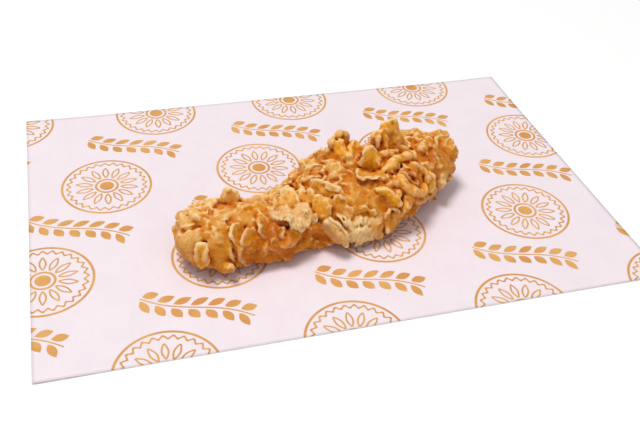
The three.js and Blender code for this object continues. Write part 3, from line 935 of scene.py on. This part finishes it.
def looks_of(spec, *places):
    """What a spec says besides its places."""
    return {key: value for key, value in spec.items() if key not in places}


def known_crust(stamps, base):
    """The flakes, curls and strings that the crust is known by."""
    for turn, spec in enumerate(SHEETS.values()):
        root, rim = seen_on(base, spec["root"]), seen_path(base, spec, "rim")
        add_sheet(stamps, root, rim, phase=turn, **looks_of(spec, "root", "rim", "over"))
    for turn, spec in enumerate(CURLS.values()):
        through = seen_path(base, spec, "through")
        add_curl(stamps, through, phase=turn, **looks_of(spec, "through", "over"))
    for seed, (first, last, count, radius) in enumerate(FIBRES.values()):
        rng = np.random.default_rng(seed)
        for share in np.linspace(0, 1, count):
            near = (1 - share) * np.array(first) + share * np.array(last)
            near = near + rng.normal(0, 0.7, near.shape) * (1, 2, 0.3)
            through = seen_on(base, near)
            width = radius * rng.uniform(0.8, 1.25)
            add_curl(stamps, through, width, tone=-0.6, taper=0.5, bumps=0.15)


def crust_places(field, along, around):
    """Places on the crust outwards from the spine, with their axes."""
    ahead, onward, outward = crust_axes(along, around)
    steps = np.arange(-5, 8, 0.25)
    lines = body_point(along, around)[:, None] + steps[:, None] * outward[:, None]
    outside = sample(field, lines.reshape(-1, 3)).reshape(len(along), -1) > 0
    first = np.where(outside.any(1), outside.argmax(1), 0)
    return lines[np.arange(len(along)), first], ahead, onward, outward


def crowded(at, chosen, i, gap):
    """Whether place i lies within `gap` mm of one that was chosen before it."""
    return bool(chosen) and np.linalg.norm(at[chosen] - at[i], axis=1).min() < gap


def scattered_crumbs(field, rough, count, seed, shake):
    """Distance outside the small grains that the crust is made of where it is craggy."""
    rng = np.random.default_rng(seed)
    stamps = Stamps()
    along, around = rng.uniform(7, LENGTH - 13, count), rng.uniform(-70, 250, count)
    at, ahead, onward, outward = crust_places(field, along, around)
    craggy = sample(rough, at)
    chosen = []
    for i in range(count):
        gap = rng.uniform(2.6, 4.4)
        if craggy[i] < 0.55 or crowded(at, chosen, i, gap):
            continue
        chosen.append(i)
        turn = rng.uniform(0, math.tau)
        towards = math.cos(turn) * ahead[i] + math.sin(turn) * onward[i]
        radius, half = rng.uniform(0.9, 2.1), rng.uniform(0.2, 2.2)
        middle = at[i] - 0.45 * radius * outward[i]
        through = [middle - half * towards, middle, middle + half * towards]
        add_curl(stamps, through, radius, taper=0.2)
    return stamps.fields(shake)[0]


def scattered_flakes(stamps, field, rough, taken, count, seed):
    """Loose flakes and wrinkles wherever `taken`, a distance field, leaves room."""
    rng = np.random.default_rng(seed)
    along, around = rng.uniform(9, LENGTH - 9, count), rng.uniform(-65, 245, count)
    at, ahead, onward, outward = crust_places(field, along, around)
    room = sample(taken, at)
    craggy = sample(rough, at)
    chosen = []
    for i in range(count):
        gap = rng.uniform(4.5, 8)
        if room[i] < 1.8 or craggy[i] < 0.8 or crowded(at, chosen, i, gap):
            continue
        chosen.append(i)
        turn = rng.uniform(0, math.tau)
        towards = math.cos(turn) * ahead[i] + math.sin(turn) * onward[i]
        side = np.cross(outward[i], towards)
        tone = rng.uniform(-0.4, 0.9)
        if rng.random() < 0.62:
            low = outward[i][2] < 0.45
            tilt = math.radians(rng.uniform(76, 88) if low else rng.uniform(62, 80))
            rise = math.cos(tilt) * outward[i] + math.sin(tilt) * towards
            width, height = rng.uniform(4, 9), rng.uniform(3, 6)
            start = at[i] - 0.4 * outward[i]
            root = []
            for s in (-1, 0, 1):
                spread = start + side * width * s * rng.uniform(0.35, 0.5)
                root.append(spread + towards * rng.uniform(-0.5, 0.5))
            rim = []
            for s in (-1, -0.35, 0.35, 1):
                reach = height * rng.uniform(0.65, 1.15)
                rim.append(start + side * width * s * rng.uniform(0.4, 0.6) + rise * reach)
            add_sheet(
                stamps, root, rim,
                thick=rng.uniform(1.2, 1.9), bulge=rng.uniform(-0.3, 0.9), tone=tone,
                corner=rng.uniform(3, 8), ripple=rng.uniform(0.1, 0.6), wave=rng.uniform(3, 6),
                phase=rng.uniform(0, 6), bead=rng.uniform(0, 0.3),
            )
        else:
            length, bend = rng.uniform(4, 9), rng.uniform(-1.6, 1.6)
            through = []
            for t in (-1, 0, 1):
                arched = at[i] + towards * length * t / 2 + side * bend * t * t
                through.append(arched + outward[i] * (0.5 - 0.7 * t * t))
            radius, phase = rng.uniform(0.7, 1.5), rng.uniform(0, 6)
            add_curl(stamps, through, radius, tone=tone, phase=phase, taper=0.5, bumps=0.2)


# Places that stay smooth: the pixel that shows each, its radius in mm, and how smooth it is.
SMOOTH_PLACES = {
    "left_dome": (188, 243, 9.5, 0.9),
    "left_tip_top": (187, 219, 5.5, 0.75),
    "left_cheek": (217, 248, 10, 0.9),
    "lens_foot": (236, 254, 6, 0.6),
    "crescent_foot": (248, 252, 7, 0.7),
    "left_plane": (250, 215, 8, 0.85),
    "under_left_crest": (226, 209, 5, 0.5),
    "plane_back": (250, 200, 5, 0.8),
    "frill_back": (265, 196, 6, 0.85),
    "under_frill": (276, 240, 10, 0.85),
    "near_cheek": (300, 246, 7, 0.8),
    "under_petals": (320, 240, 5, 0.5),
    "hollow": (367, 194, 12, 0.95),
    "hollow_left": (358, 186, 6, 0.8),
    "hollow_foot": (376, 206, 8, 0.9),
    "fan": (362, 234, 9, 0.85),
    "middle_wedge": (335, 230, 7, 0.7),
    "back_left": (300, 168, 11, 0.35),
    "back_middle": (328, 162, 10, 0.35),
    "back_right": (345, 168, 8, 0.35),
    "left_top": (212, 205, 8, 0.35),
    "inner_lip": (357, 215, 5, 0.5),
    "end_face": (446, 157, 10.5, 0.92),
    "curl_mouth": (425, 180, 4, 0.4),
    "shoulder": (385, 160, 5, 0.5),
}


def roughness_field(skin):
    """1 where the crust is craggy, less at the smooth places and towards the tips."""
    x, y, z = np.meshgrid(*AXES, indexing="ij", sparse=True)
    from_tip = np.minimum(ALONG, LENGTH - ALONG)
    rough = np.ones(COUNT, np.float32) * np.clip(0.35 + from_tip / 15, 0.1, 1)
    for right, down, radius, strength in SMOOTH_PLACES.values():
        at = seen_on(skin, [(right, down, 0)])[0]
        gap = (x - at[0]) ** 2 + (y - at[1]) ** 2 + (z - at[2]) ** 2
        rough = rough * (1 - strength * np.exp(-((gap / radius**2) ** 2))).astype(np.float32)
    return rough


# Shades of the crust, as judged: the pixel that shows each, its radius in mm, and how deep it is,
# from -1 for pale to 1 for dark. Pale places are partly paler crust and partly painted highlight on
# upward faces; dark ones are partly browning and partly painted shade in gaps, pits and under flakes.
SHADES = {
    "left_dome": (184, 240, 9, -0.5),
    "left_tip_top": (188, 217, 6, -0.7),
    "left_top": (212, 206, 9, -0.8),
    "left_cheek": (222, 240, 7, -0.3),
    "frill_back": (262, 196, 8, -0.7),
    "petals": (290, 198, 8, -0.5),
    "back_left": (298, 170, 11, -0.5),
    "back_middle": (325, 162, 9, -0.5),
    "back_right": (340, 170, 8, -0.3),
    "shoulder": (398, 150, 9, -0.3),
    "far_edge": (428, 133, 8, -0.3),
    "end_knuckle": (443, 182, 6, -0.9),
    "fan": (363, 235, 8, -0.8),
    "middle_wedge": (346, 222, 5, -0.6),
    "flap": (396, 218, 5, -0.2),
    "left_plane": (250, 216, 6, -0.1),
    "under_frill": (270, 238, 10, 0.9),
    "cheek_foot": (290, 250, 8, 0.8),
    "lens_gap": (243, 240, 5, 0.6),
    "hollow": (372, 203, 8, 0.4),
    "curl_pit": (411, 180, 6, 1),
    "end_face": (448, 160, 8, 0.6),
    "end_gap": (432, 156, 5, 0.9),
    "leaf_shade": (350, 181, 5, 0.6),
    "ridge_side": (312, 236, 6, 0.7),
    "belly": (232, 262, 8, 0.5),
    "under_fin": (382, 165, 5, 0.4),
    "curl_foot": (420, 200, 6, 0.5),
    "end_crease": (202, 226, 4, 0.7),
    "behind_petals": (305, 180, 5, 0.4),
}


def shade_at(points, skin):
    """How deep the crust's shade is at points, its browning and painted light together."""
    total = np.zeros(len(points))
    weight = np.full(len(points), 0.35)
    for right, down, radius, depth in SHADES.values():
        gap = ((points - seen_on(skin, [(right, down, 0)])[0]) ** 2).sum(1)
        near = np.exp(-gap / radius**2)
        total += near * depth
        weight += near
    return total / weight


def layer_field():
    """Overlapping layers: each rises from 0 along the body, then drops from 1 at its frilly rim."""
    shape = ALONG / LAYER_PITCH
    for amount, size, seed in ((0.75, 7, 21), (0.35, 3.4, 22), (0.14, 1.6, 23)):
        shape = shape + amount * wander(size, seed)
    shape = shape % 1
    rise, drop = (shape / LAYER_RIM) ** 1.5, (1 - shape) / (1 - LAYER_RIM)
    return np.where(shape < LAYER_RIM, rise, drop).astype(np.float32)


def nearest_of(first, second):
    """Distance, rim and tone of whichever is nearer at each cell."""
    closer = first[0] < second[0]
    return [np.where(closer, a, b) for a, b in zip(first, second)]


def biggest_shell(points, quads):
    """The points and faces of the largest connected surface."""
    label = np.arange(len(points))
    ends = np.vstack([quads[:, [0, 1]], quads[:, [1, 2]], quads[:, [2, 3]]])
    while True:
        lowest = label[ends].min(1)
        merged = label.copy()
        np.minimum.at(merged, ends[:, 0], lowest)
        np.minimum.at(merged, ends[:, 1], lowest)
        merged = merged[merged]
        if (merged == label).all():
            break
        label = merged
    kept = label == np.bincount(label).argmax()
    index = np.cumsum(kept) - 1
    return points[kept], index[quads[kept[quads[:, 0]]]]


def simplified(points, quads):
    """A mesh of the faces, thinned out where the surface is flattest."""
    dense = bpy.data.meshes.new("dense")
    dense.from_pydata((points * MM).tolist(), [], quads.tolist())
    carrier = bpy.data.objects.new("carrier", dense)
    bpy.context.collection.objects.link(carrier)
    modifier = carrier.modifiers.new("thin", "DECIMATE")
    modifier.ratio = TRIANGLES / (2 * len(quads))
    evaluated = carrier.evaluated_get(bpy.context.evaluated_depsgraph_get())
    mesh = bpy.data.meshes.new_from_object(evaluated)
    bpy.data.objects.remove(carrier)
    bpy.data.meshes.remove(dense)
    mesh.name = "tender"
    return mesh


def tender_mesh():
    """The tender's surface, with what its material reads stored at each vertex."""
    skin = body_field() + SKIN_SHRINK
    for along, around, sunk, radii in LUMPS:
        add_lobe(skin, along, around, sunk, radii)
    rough = roughness_field(skin)
    shake = shaking(SHAKE_SEED)
    known, loose = Stamps(), Stamps()
    known_crust(known, skin + BASE_SHRINK)
    known_fields = known.fields(shake)
    calm = np.clip(1.8 * blurred(np.clip(1 - known_fields[0], 0, 1), 2.0), 0, 1)
    layers = layer_field()
    swell = ridges(6, 1) + 0.5 * ridges(3.4, 2) - 0.5 * ridges(2.2, 3)
    relief = rough * (0.95 * (swell - 0.6) + 1.9 * (layers - 0.4)) * (1 - 0.4 * calm)
    folds = 0.7 * (ridges(8, 6) - 0.7) + 0.25 * (ridges(3, 7) - 0.7)
    base = skin + BASE_SHRINK - relief - folds
    crumbs = scattered_crumbs(base, rough, CRUMB_TRIES, CRUMB_SEED, shake)
    base = joined(base, crumbs, CRUMB_BLEND)
    base = -joined(-base, known_grooves(base), GROOVE_BLEND)
    scattered_flakes(loose, base, rough, known_fields[0], FLAKE_TRIES, FLAKE_SEED)
    flakes, rim, tone = nearest_of(known_fields, loose.fields(shake))
    field = joined(base, flakes, FLAKE_BLEND - RIM_SHARPENING * rim)
    field = field + 0.26 * (ridges(2.4, 4) - 0.8) + 0.2 * (ridges(1.4, 5) - 0.8)
    field = np.maximum(field, (REST_HEIGHT - AXES[2])[None, None].astype(np.float32))
    # How much solid lies around each place, over about 1.2 mm and 3.6 mm; the material paints shade in
    # the creases and hollows that these find.
    solid = np.clip(0.5 - field / CELL, 0, 1)
    dents = blurred(solid, 1.2)
    hollows = blurred(solid, 3.6)

    grid = openvdb.FloatGrid(9.0)
    grid.copyFromArray(field)
    points, _, quads = grid.convertToPolygons(isovalue=0.0)
    points, quads = biggest_shell(points.astype(float) * CELL + LOW, quads[:, ::-1].astype(int))
    mesh = simplified(points, quads)
    points = np.empty(len(mesh.vertices) * 3)
    mesh.vertices.foreach_get("co", points)
    points = points.reshape(-1, 3) / MM
    values = {
        "dent": sample(dents, points) - 0.5,
        "hollow": sample(hollows, points) - 0.5,
        "rim": sample(rim, points),
        "tone": sample(tone, points),
        "layer": sample(layers * rough, points),
        "craggy": sample(rough, points),
        "shade": shade_at(points, skin),
    }
    for name, value in values.items():
        layer = mesh.attributes.new(name, "FLOAT", "POINT")
        layer.data.foreach_set("value", np.ascontiguousarray(value, np.float32))
    mesh.update()
    return mesh


# ---- materials ----
def linear(red, green, blue):
    """A screen colour, 0 to 255, as the linear colour that shaders take."""
    out = []
    for v in (red, green, blue):
        v = v / 255
        out.append(v / 12.92 if v <= 0.04045 else ((v + 0.055) / 1.055) ** 2.4)
    return (*out, 1)


class Term:
    """A shader value that sums and products can be written with."""

    def __init__(self, nodes, socket):
        self.nodes = nodes
        self.socket = socket

    def __add__(self, other):
        return self.nodes.term("ADD", self, other)

    def __sub__(self, other):
        return self.nodes.term("SUBTRACT", self, other)

    def __mul__(self, other):
        return self.nodes.term("MULTIPLY", self, other)

    def __truediv__(self, other):
        return self.nodes.term("DIVIDE", self, other)

    def __mod__(self, other):
        return self.nodes.term("FLOORED_MODULO", self, other)

    def __abs__(self):
        return self.nodes.term("ABSOLUTE", self)

    def __neg__(self):
        return self * -1.0


class Nodes:
    """Short words for building a material's nodes."""

    def __init__(self, name):
        self.material = bpy.data.materials.new(name)
        self.material.use_nodes = True
        self.tree = self.material.node_tree
        self.tree.nodes.clear()
        self.output = self.tree.nodes.new("ShaderNodeOutputMaterial")

    def new(self, kind, **settings):
        node = self.tree.nodes.new("ShaderNode" + kind)
        for key, value in settings.items():
            setattr(node, key, value)
        return node

    def put(self, value, socket):
        if isinstance(value, Term):
            value = value.socket
        if isinstance(value, bpy.types.NodeSocket):
            self.tree.links.new(value, socket)
        else:
            socket.default_value = value

    def term(self, operation, *values):
        node = self.new("Math", operation=operation)
        for value, socket in zip(values, node.inputs):
            self.put(value, socket)
        return Term(self, node.outputs[0])

    def mix(self, share, a, b):
        node = self.new("Mix", data_type="RGBA")
        self.put(share, node.inputs[0])
        self.put(a, node.inputs[6])
        self.put(b, node.inputs[7])
        return node.outputs[2]

    def ramp(self, value, low, high):
        """0 below low, 1 above high, smooth between."""
        node = self.new("MapRange", interpolation_type="SMOOTHSTEP")
        for v, socket in zip((value, low, high, 0.0, 1.0), node.inputs):
            self.put(v, socket)
        return Term(self, node.outputs[0])

    def most(self, first, *others):
        for other in others:
            first = self.term("MAXIMUM", first, other)
        return first

    def attribute(self, name):
        return Term(self, self.new("Attribute", attribute_name=name).outputs["Fac"])

    def parts(self, vector):
        node = self.new("SeparateXYZ")
        self.put(vector, node.inputs[0])
        return [Term(self, socket) for socket in node.outputs]

    def upward(self):
        """1 where the surface faces up, -1 where it faces down."""
        return self.parts(self.new("NewGeometry").outputs["Normal"])[2]

    def place(self):
        return self.new("TexCoord").outputs["Object"]

    def noise(self, scale, detail=3.0, stretch=(1, 1, 1)):
        mapping = self.new("Mapping")
        mapping.inputs["Scale"].default_value = stretch
        self.put(self.place(), mapping.inputs["Vector"])
        node = self.new("TexNoise")
        self.put(mapping.outputs[0], node.inputs["Vector"])
        node.inputs["Scale"].default_value = scale
        node.inputs["Detail"].default_value = detail
        return Term(self, node.outputs["Fac"])

    def bump(self, height, depth, strength):
        """A normal for bumps of about `depth` mm."""
        node = self.new("Bump")
        node.inputs["Strength"].default_value = strength
        node.inputs["Distance"].default_value = depth * MM
        self.put(height, node.inputs["Height"])
        return node.outputs[0]


def crust_material():
    n = Nodes("crust")
    golden = linear(216, 134, 16)
    tan = linear(220, 150, 48)
    pale_tan = linear(240, 192, 120)
    amber = linear(206, 112, 0)
    brown = linear(174, 76, 0)
    cream = linear(255, 234, 184)
    yellow = linear(252, 174, 34)
    chalk = linear(250, 224, 166)
    dent, hollow, craggy = n.attribute("dent"), n.attribute("hollow"), n.attribute("craggy")
    rim, tone, layer = n.attribute("rim"), n.attribute("tone"), n.attribute("layer")
    upward = n.upward()
    broad, patch, fine = n.noise(90, 2), n.noise(240), n.noise(900)
    color = n.mix(n.ramp(broad, 0.4, 0.6), tan, golden)
    color = n.mix(n.ramp(craggy, 0.8, 0.2) * 0.55, color, tan)
    # From the shade table: pale_tan is partly paler crust and partly painted highlight, and amber to
    # brown is partly browning and partly painted shade in gaps, pits and under flakes.
    shade = n.attribute("shade") + (patch - 0.5) * 0.6
    color = n.mix(n.ramp(-shade, 0.0, 0.7) * 0.85, color, pale_tan)
    deep = n.mix(n.ramp(broad, 0.4, 0.6), amber, brown)
    color = n.mix(n.ramp(shade, 0.05, 0.75) * 0.9, color, deep)
    color = n.mix(n.ramp(tone, 0.1, 0.8) * 0.8, color, yellow)
    color = n.mix(n.ramp(patch, 0.5, 0.75) * 0.5, color, amber)
    # Painted shade: amber on faces that look down and in broad hollows, brown in narrow creases.
    color = n.mix(n.ramp(upward, 0.35, -0.5) * 0.55, color, amber)
    color = n.mix(n.ramp(hollow + patch * 0.1, 0.01, 0.15) * 0.85, color, amber)
    color = n.mix(n.ramp(dent, 0.03, 0.2) * 0.88, color, brown)
    # Painted highlight: cream on flake rims, layer crests, ridges and faces that look up, held back where
    # the shade table is dark.
    calmed = n.ramp(shade, 0.9, 0.1) * 0.55 + 0.45
    high_rim, high_layer = n.ramp(rim, 0.15, 0.8) * 0.7, n.ramp(layer, 0.45, 0.95)
    painted_highlight = n.most(high_rim, high_layer, n.ramp(upward, 0.4, 0.95) * 0.75)
    color = n.mix(n.ramp(-dent, 0.0, 0.15) * painted_highlight * calmed * 0.78, color, cream)
    color = n.mix(n.ramp(-tone, 0.2, 0.9) * 0.75, color, chalk)
    color = n.mix(n.ramp(fine, 0.52, 0.72) * 0.15, color, cream)
    color = n.mix(n.ramp(fine, 0.47, 0.3) * 0.4, color, amber)
    shader = n.new("BsdfPrincipled")
    n.put(color, shader.inputs["Base Color"])
    n.put(fine * 0.3 + 0.2, shader.inputs["Roughness"])
    shader.inputs["IOR"].default_value = 1.45
    shader.inputs["Subsurface Weight"].default_value = 0.2
    shader.inputs["Subsurface Radius"].default_value = (0.8, 0.45, 0.15)
    shader.inputs["Subsurface Scale"].default_value = 0.0022
    shader.inputs["Specular IOR Level"].default_value = 0.13
    n.put(n.bump(fine + patch + n.noise(2200, 2) * 0.6, 0.35, 0.8), shader.inputs["Normal"])
    n.put(shader.outputs[0], n.output.inputs["Surface"])
    return n.material


# The sheet's own pattern, in millimetres: rows of suns and sprigs that run aslant.
PRINT_CELL = (64.0, 66.0)
PRINT_TURN = math.radians(-27)
SUN_AT = 12.0  # how far above the middle of its cell a sun lies
SPRIG_AT = -20.0
LINE = 0.55  # half the width of a printed line


def inked(n, distance, half=LINE):
    """1 within half of a line, with an edge as soft as print on paper."""
    return n.ramp(abs(distance), half + 0.12, half - 0.12)


def sun_print(n, across, up):
    """A disc with a ring of petals and a scalloped border."""
    away = n.term("SQRT", across * across + up * up)
    angle = n.term("ARCTAN2", up, across)
    petals, inner, outer = 14, 6.2, 14.2
    step = math.tau / petals
    offset = abs((angle + math.pi) % step - step / 2)
    width = n.term("SINE", (away - inner) * (math.pi / (outer - inner))) * 1.25
    reach = (outer - inner) / 2
    ring = n.ramp(abs(away - (inner + outer) / 2), reach + 0.1, reach - 0.1)
    petal = inked(n, offset * away - width, 0.4) * ring
    border = away - 17.2 - n.term("COSINE", angle * 2 * petals) * 0.75
    disc = n.ramp(away, 3.4, 3.1)
    return n.most(petal, inked(n, border), inked(n, away - 20.0), inked(n, away - 4.9), disc)


def sprig_print(n, across, up):
    """A curved stem with pairs of pointed leaves."""
    pitch, half = 6.6, 23.1
    up = up - n.term("SINE", across * 0.11) * 2.2
    within = n.ramp(abs(across), half + 0.1, half - 0.1)
    lean = math.radians(38)
    forward = (across + half) % pitch - pitch / 2
    outward = abs(up) - 3.4
    length = forward * math.cos(lean) + outward * math.sin(lean)
    breadth = outward * math.cos(lean) - forward * math.sin(lean)
    leaf = (length / 3.6) * (length / 3.6) + abs(breadth) / 1.9
    return n.most(n.ramp(leaf, 1.06, 0.94), inked(n, up, 0.36)) * within


def paper_print(n):
    """1 where the sheet is printed."""
    x, y, _ = n.parts(n.place())
    x, y = x / MM, y / MM
    wide, tall = PRINT_CELL
    right = x * math.cos(PRINT_TURN) + y * math.sin(PRINT_TURN)
    up = y * math.cos(PRINT_TURN) - x * math.sin(PRINT_TURN)
    column = n.term("FLOOR", right / wide)
    across = right - column * wide - wide / 2
    up = (up + column * (0.5 * tall)) % tall - tall / 2
    sun = sun_print(n, across, up - SUN_AT)
    sprig = sprig_print(n, across, up - SPRIG_AT)
    return n.most(sun, sprig)


def paper_material():
    n = Nodes("printed_paper")
    white = linear(239, 227, 233)
    fibre = linear(231, 217, 224)
    ink = linear(208, 142, 58)
    pale_ink = linear(222, 164, 84)
    cloud, fibres, grain = n.noise(60), n.noise(700, 4, (1, 0.25, 1)), n.noise(2200, 2)
    color = n.mix(n.ramp(cloud, 0.35, 0.7) * 0.35, white, fibre)
    color = n.mix(n.ramp(fibres, 0.5, 0.8) * 0.4, color, fibre)
    top = n.ramp(n.upward(), 0.3, 0.6)
    mottled_ink = n.mix(n.ramp(cloud + grain * 0.3, 0.5, 0.8), ink, pale_ink)
    color = n.mix(paper_print(n) * top * 0.95, color, mottled_ink)
    shader = n.new("BsdfPrincipled")
    n.put(color, shader.inputs["Base Color"])
    n.put(fibres * 0.2 + 0.42, shader.inputs["Roughness"])
    shader.inputs["IOR"].default_value = 1.45
    shader.inputs["Specular IOR Level"].default_value = 0.3
    n.put(n.bump(fibres + grain, 0.08, 0.35), shader.inputs["Normal"])
    n.put(shader.outputs[0], n.output.inputs["Surface"])
    return n.material


def placed(mesh, material, node):
    piece = bpy.data.objects.new(mesh.name, mesh)
    bpy.context.collection.objects.link(piece)
    mesh.materials.append(material)
    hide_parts(node)
    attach(piece, "root")
    return piece


# ---- the paper ----
PAPER = {"width": 260.0, "depth": 174.0, "thick": 0.25}
CORNER_LIFT = 9.0  # scales the rise, which comes to about 0.5 mm at the corners
CORNER_FROM = (0.72, 0.6)  # shares of the half width and half depth where the rise begins


def paper_mesh():
    """The sheet, with the slight rise of its corners."""
    columns, rows = 131, 88
    x = np.linspace(-0.5, 0.5, columns)
    y = np.linspace(-0.5, 0.5, rows)
    u, v = np.meshgrid(x, y, indexing="ij")
    past_u = np.clip(np.abs(u) * 2 - CORNER_FROM[0], 0, None)
    past_v = np.clip(np.abs(v) * 2 - CORNER_FROM[1], 0, None)
    top = PAPER_TOP + CORNER_LIFT * (past_u * past_v) ** 1.3
    points = []
    for height in (top, top - PAPER["thick"]):
        points.append(np.stack([u * PAPER["width"], v * PAPER["depth"], height], -1).reshape(-1, 3))
    points = np.vstack(points)
    sheet = columns * rows
    faces = []
    for i in range(columns - 1):
        for j in range(rows - 1):
            a, b, c, d = i * rows + j, (i + 1) * rows + j, (i + 1) * rows + j + 1, i * rows + j + 1
            faces.append((a, b, c, d))
            faces.append((a + sheet, d + sheet, c + sheet, b + sheet))
    for i in range(columns - 1):
        near, far = (i * rows, (i + 1) * rows), (i * rows + rows - 1, (i + 1) * rows + rows - 1)
        faces.append((near[1], near[0], near[0] + sheet, near[1] + sheet))
        faces.append((far[0], far[1], far[1] + sheet, far[0] + sheet))
    for j in range(rows - 1):
        left, right = (j, j + 1), ((columns - 1) * rows + j, (columns - 1) * rows + j + 1)
        faces.append((left[0], left[1], left[1] + sheet, left[0] + sheet))
        faces.append((right[1], right[0], right[0] + sheet, right[1] + sheet))
    mesh = bpy.data.meshes.new("paper")
    mesh.from_pydata((points * MM).tolist(), [], faces)
    mesh.update()
    unfold_paper(mesh, sheet)
    return mesh


def unfold_paper(mesh, sheet):
    """Lays the printed face out large, with the plain underside below it and the rims between."""
    layer = mesh.uv_layers.new(name="OFBake")
    bands = {"top": (0.345, 0.995), "rim": (0.336, 0.344), "underside": (0.005, 0.335)}
    for face in mesh.polygons:
        below = sum(i >= sheet for i in face.vertices)
        low, high = bands[{0: "top", 4: "underside"}.get(below, "rim")]
        for loop in face.loop_indices:
            x, y, _ = mesh.vertices[mesh.loops[loop].vertex_index].co / MM
            across, up = 0.5 + x / PAPER["width"], 0.5 + y / PAPER["depth"]
            layer.data[loop].uv = (0.005 + 0.99 * across, low + (high - low) * up)


tender = placed(tender_mesh(), crust_material(), "tender")
tender.data.shade_smooth()
paper = placed(paper_mesh(), paper_material(), "paper_sheet")
paper.data.shade_smooth()


# ---- floor and light ----
def add_floor():
    mesh = bpy.data.meshes.new("floor")
    reach = 4
    corners = [(-reach, -reach, 0), (reach, -reach, 0), (reach, reach, 0), (-reach, reach, 0)]
    mesh.from_pydata(corners, [], [(0, 1, 2, 3)])
    floor = bpy.data.objects.new("floor", mesh)
    bpy.context.collection.objects.link(floor)
    n = Nodes("floor")
    shader = n.new("BsdfPrincipled")
    shader.inputs["Base Color"].default_value = (0.96, 0.96, 0.96, 1)
    shader.inputs["Roughness"].default_value = 0.9
    n.put(shader.outputs[0], n.output.inputs["Surface"])
    mesh.materials.append(n.material)


def add_light(name, at, power, size, color):
    data = bpy.data.lights.new(name, "AREA")
    data.energy = power
    data.size = size
    data.color = color
    light = bpy.data.objects.new(name, data)
    light.location = at
    light.rotation_euler = (-Vector(at)).to_track_quat("-Z", "Y").to_euler()
    bpy.context.collection.objects.link(light)


def add_world(low, high):
    """Soft light from all round, stronger from above."""
    world = bpy.data.worlds.new("studio")
    world.use_nodes = True
    tree = world.node_tree
    background = tree.nodes["Background"]
    background.inputs[0].default_value = (0.99, 1.0, 1.01, 1)
    place = tree.nodes.new("ShaderNodeTexCoord")
    split = tree.nodes.new("ShaderNodeSeparateXYZ")
    strength = tree.nodes.new("ShaderNodeMapRange")
    strength.inputs["To Min"].default_value = low
    strength.inputs["To Max"].default_value = high
    tree.links.new(place.outputs["Generated"], split.inputs[0])
    tree.links.new(split.outputs[2], strength.inputs[0])
    tree.links.new(strength.outputs[0], background.inputs[1])
    bpy.context.scene.world = world


add_floor()
add_light("key", (-0.5, 0.2, 2.3), power=38.0, size=0.7, color=(1.0, 0.99, 0.975))
add_light("fill", (0.4, -1.5, 0.7), power=3.0, size=1.2, color=(0.95, 0.98, 1.0))
add_world(low=0.15, high=0.54)
bpy.context.scene.view_settings.view_transform = "Standard"
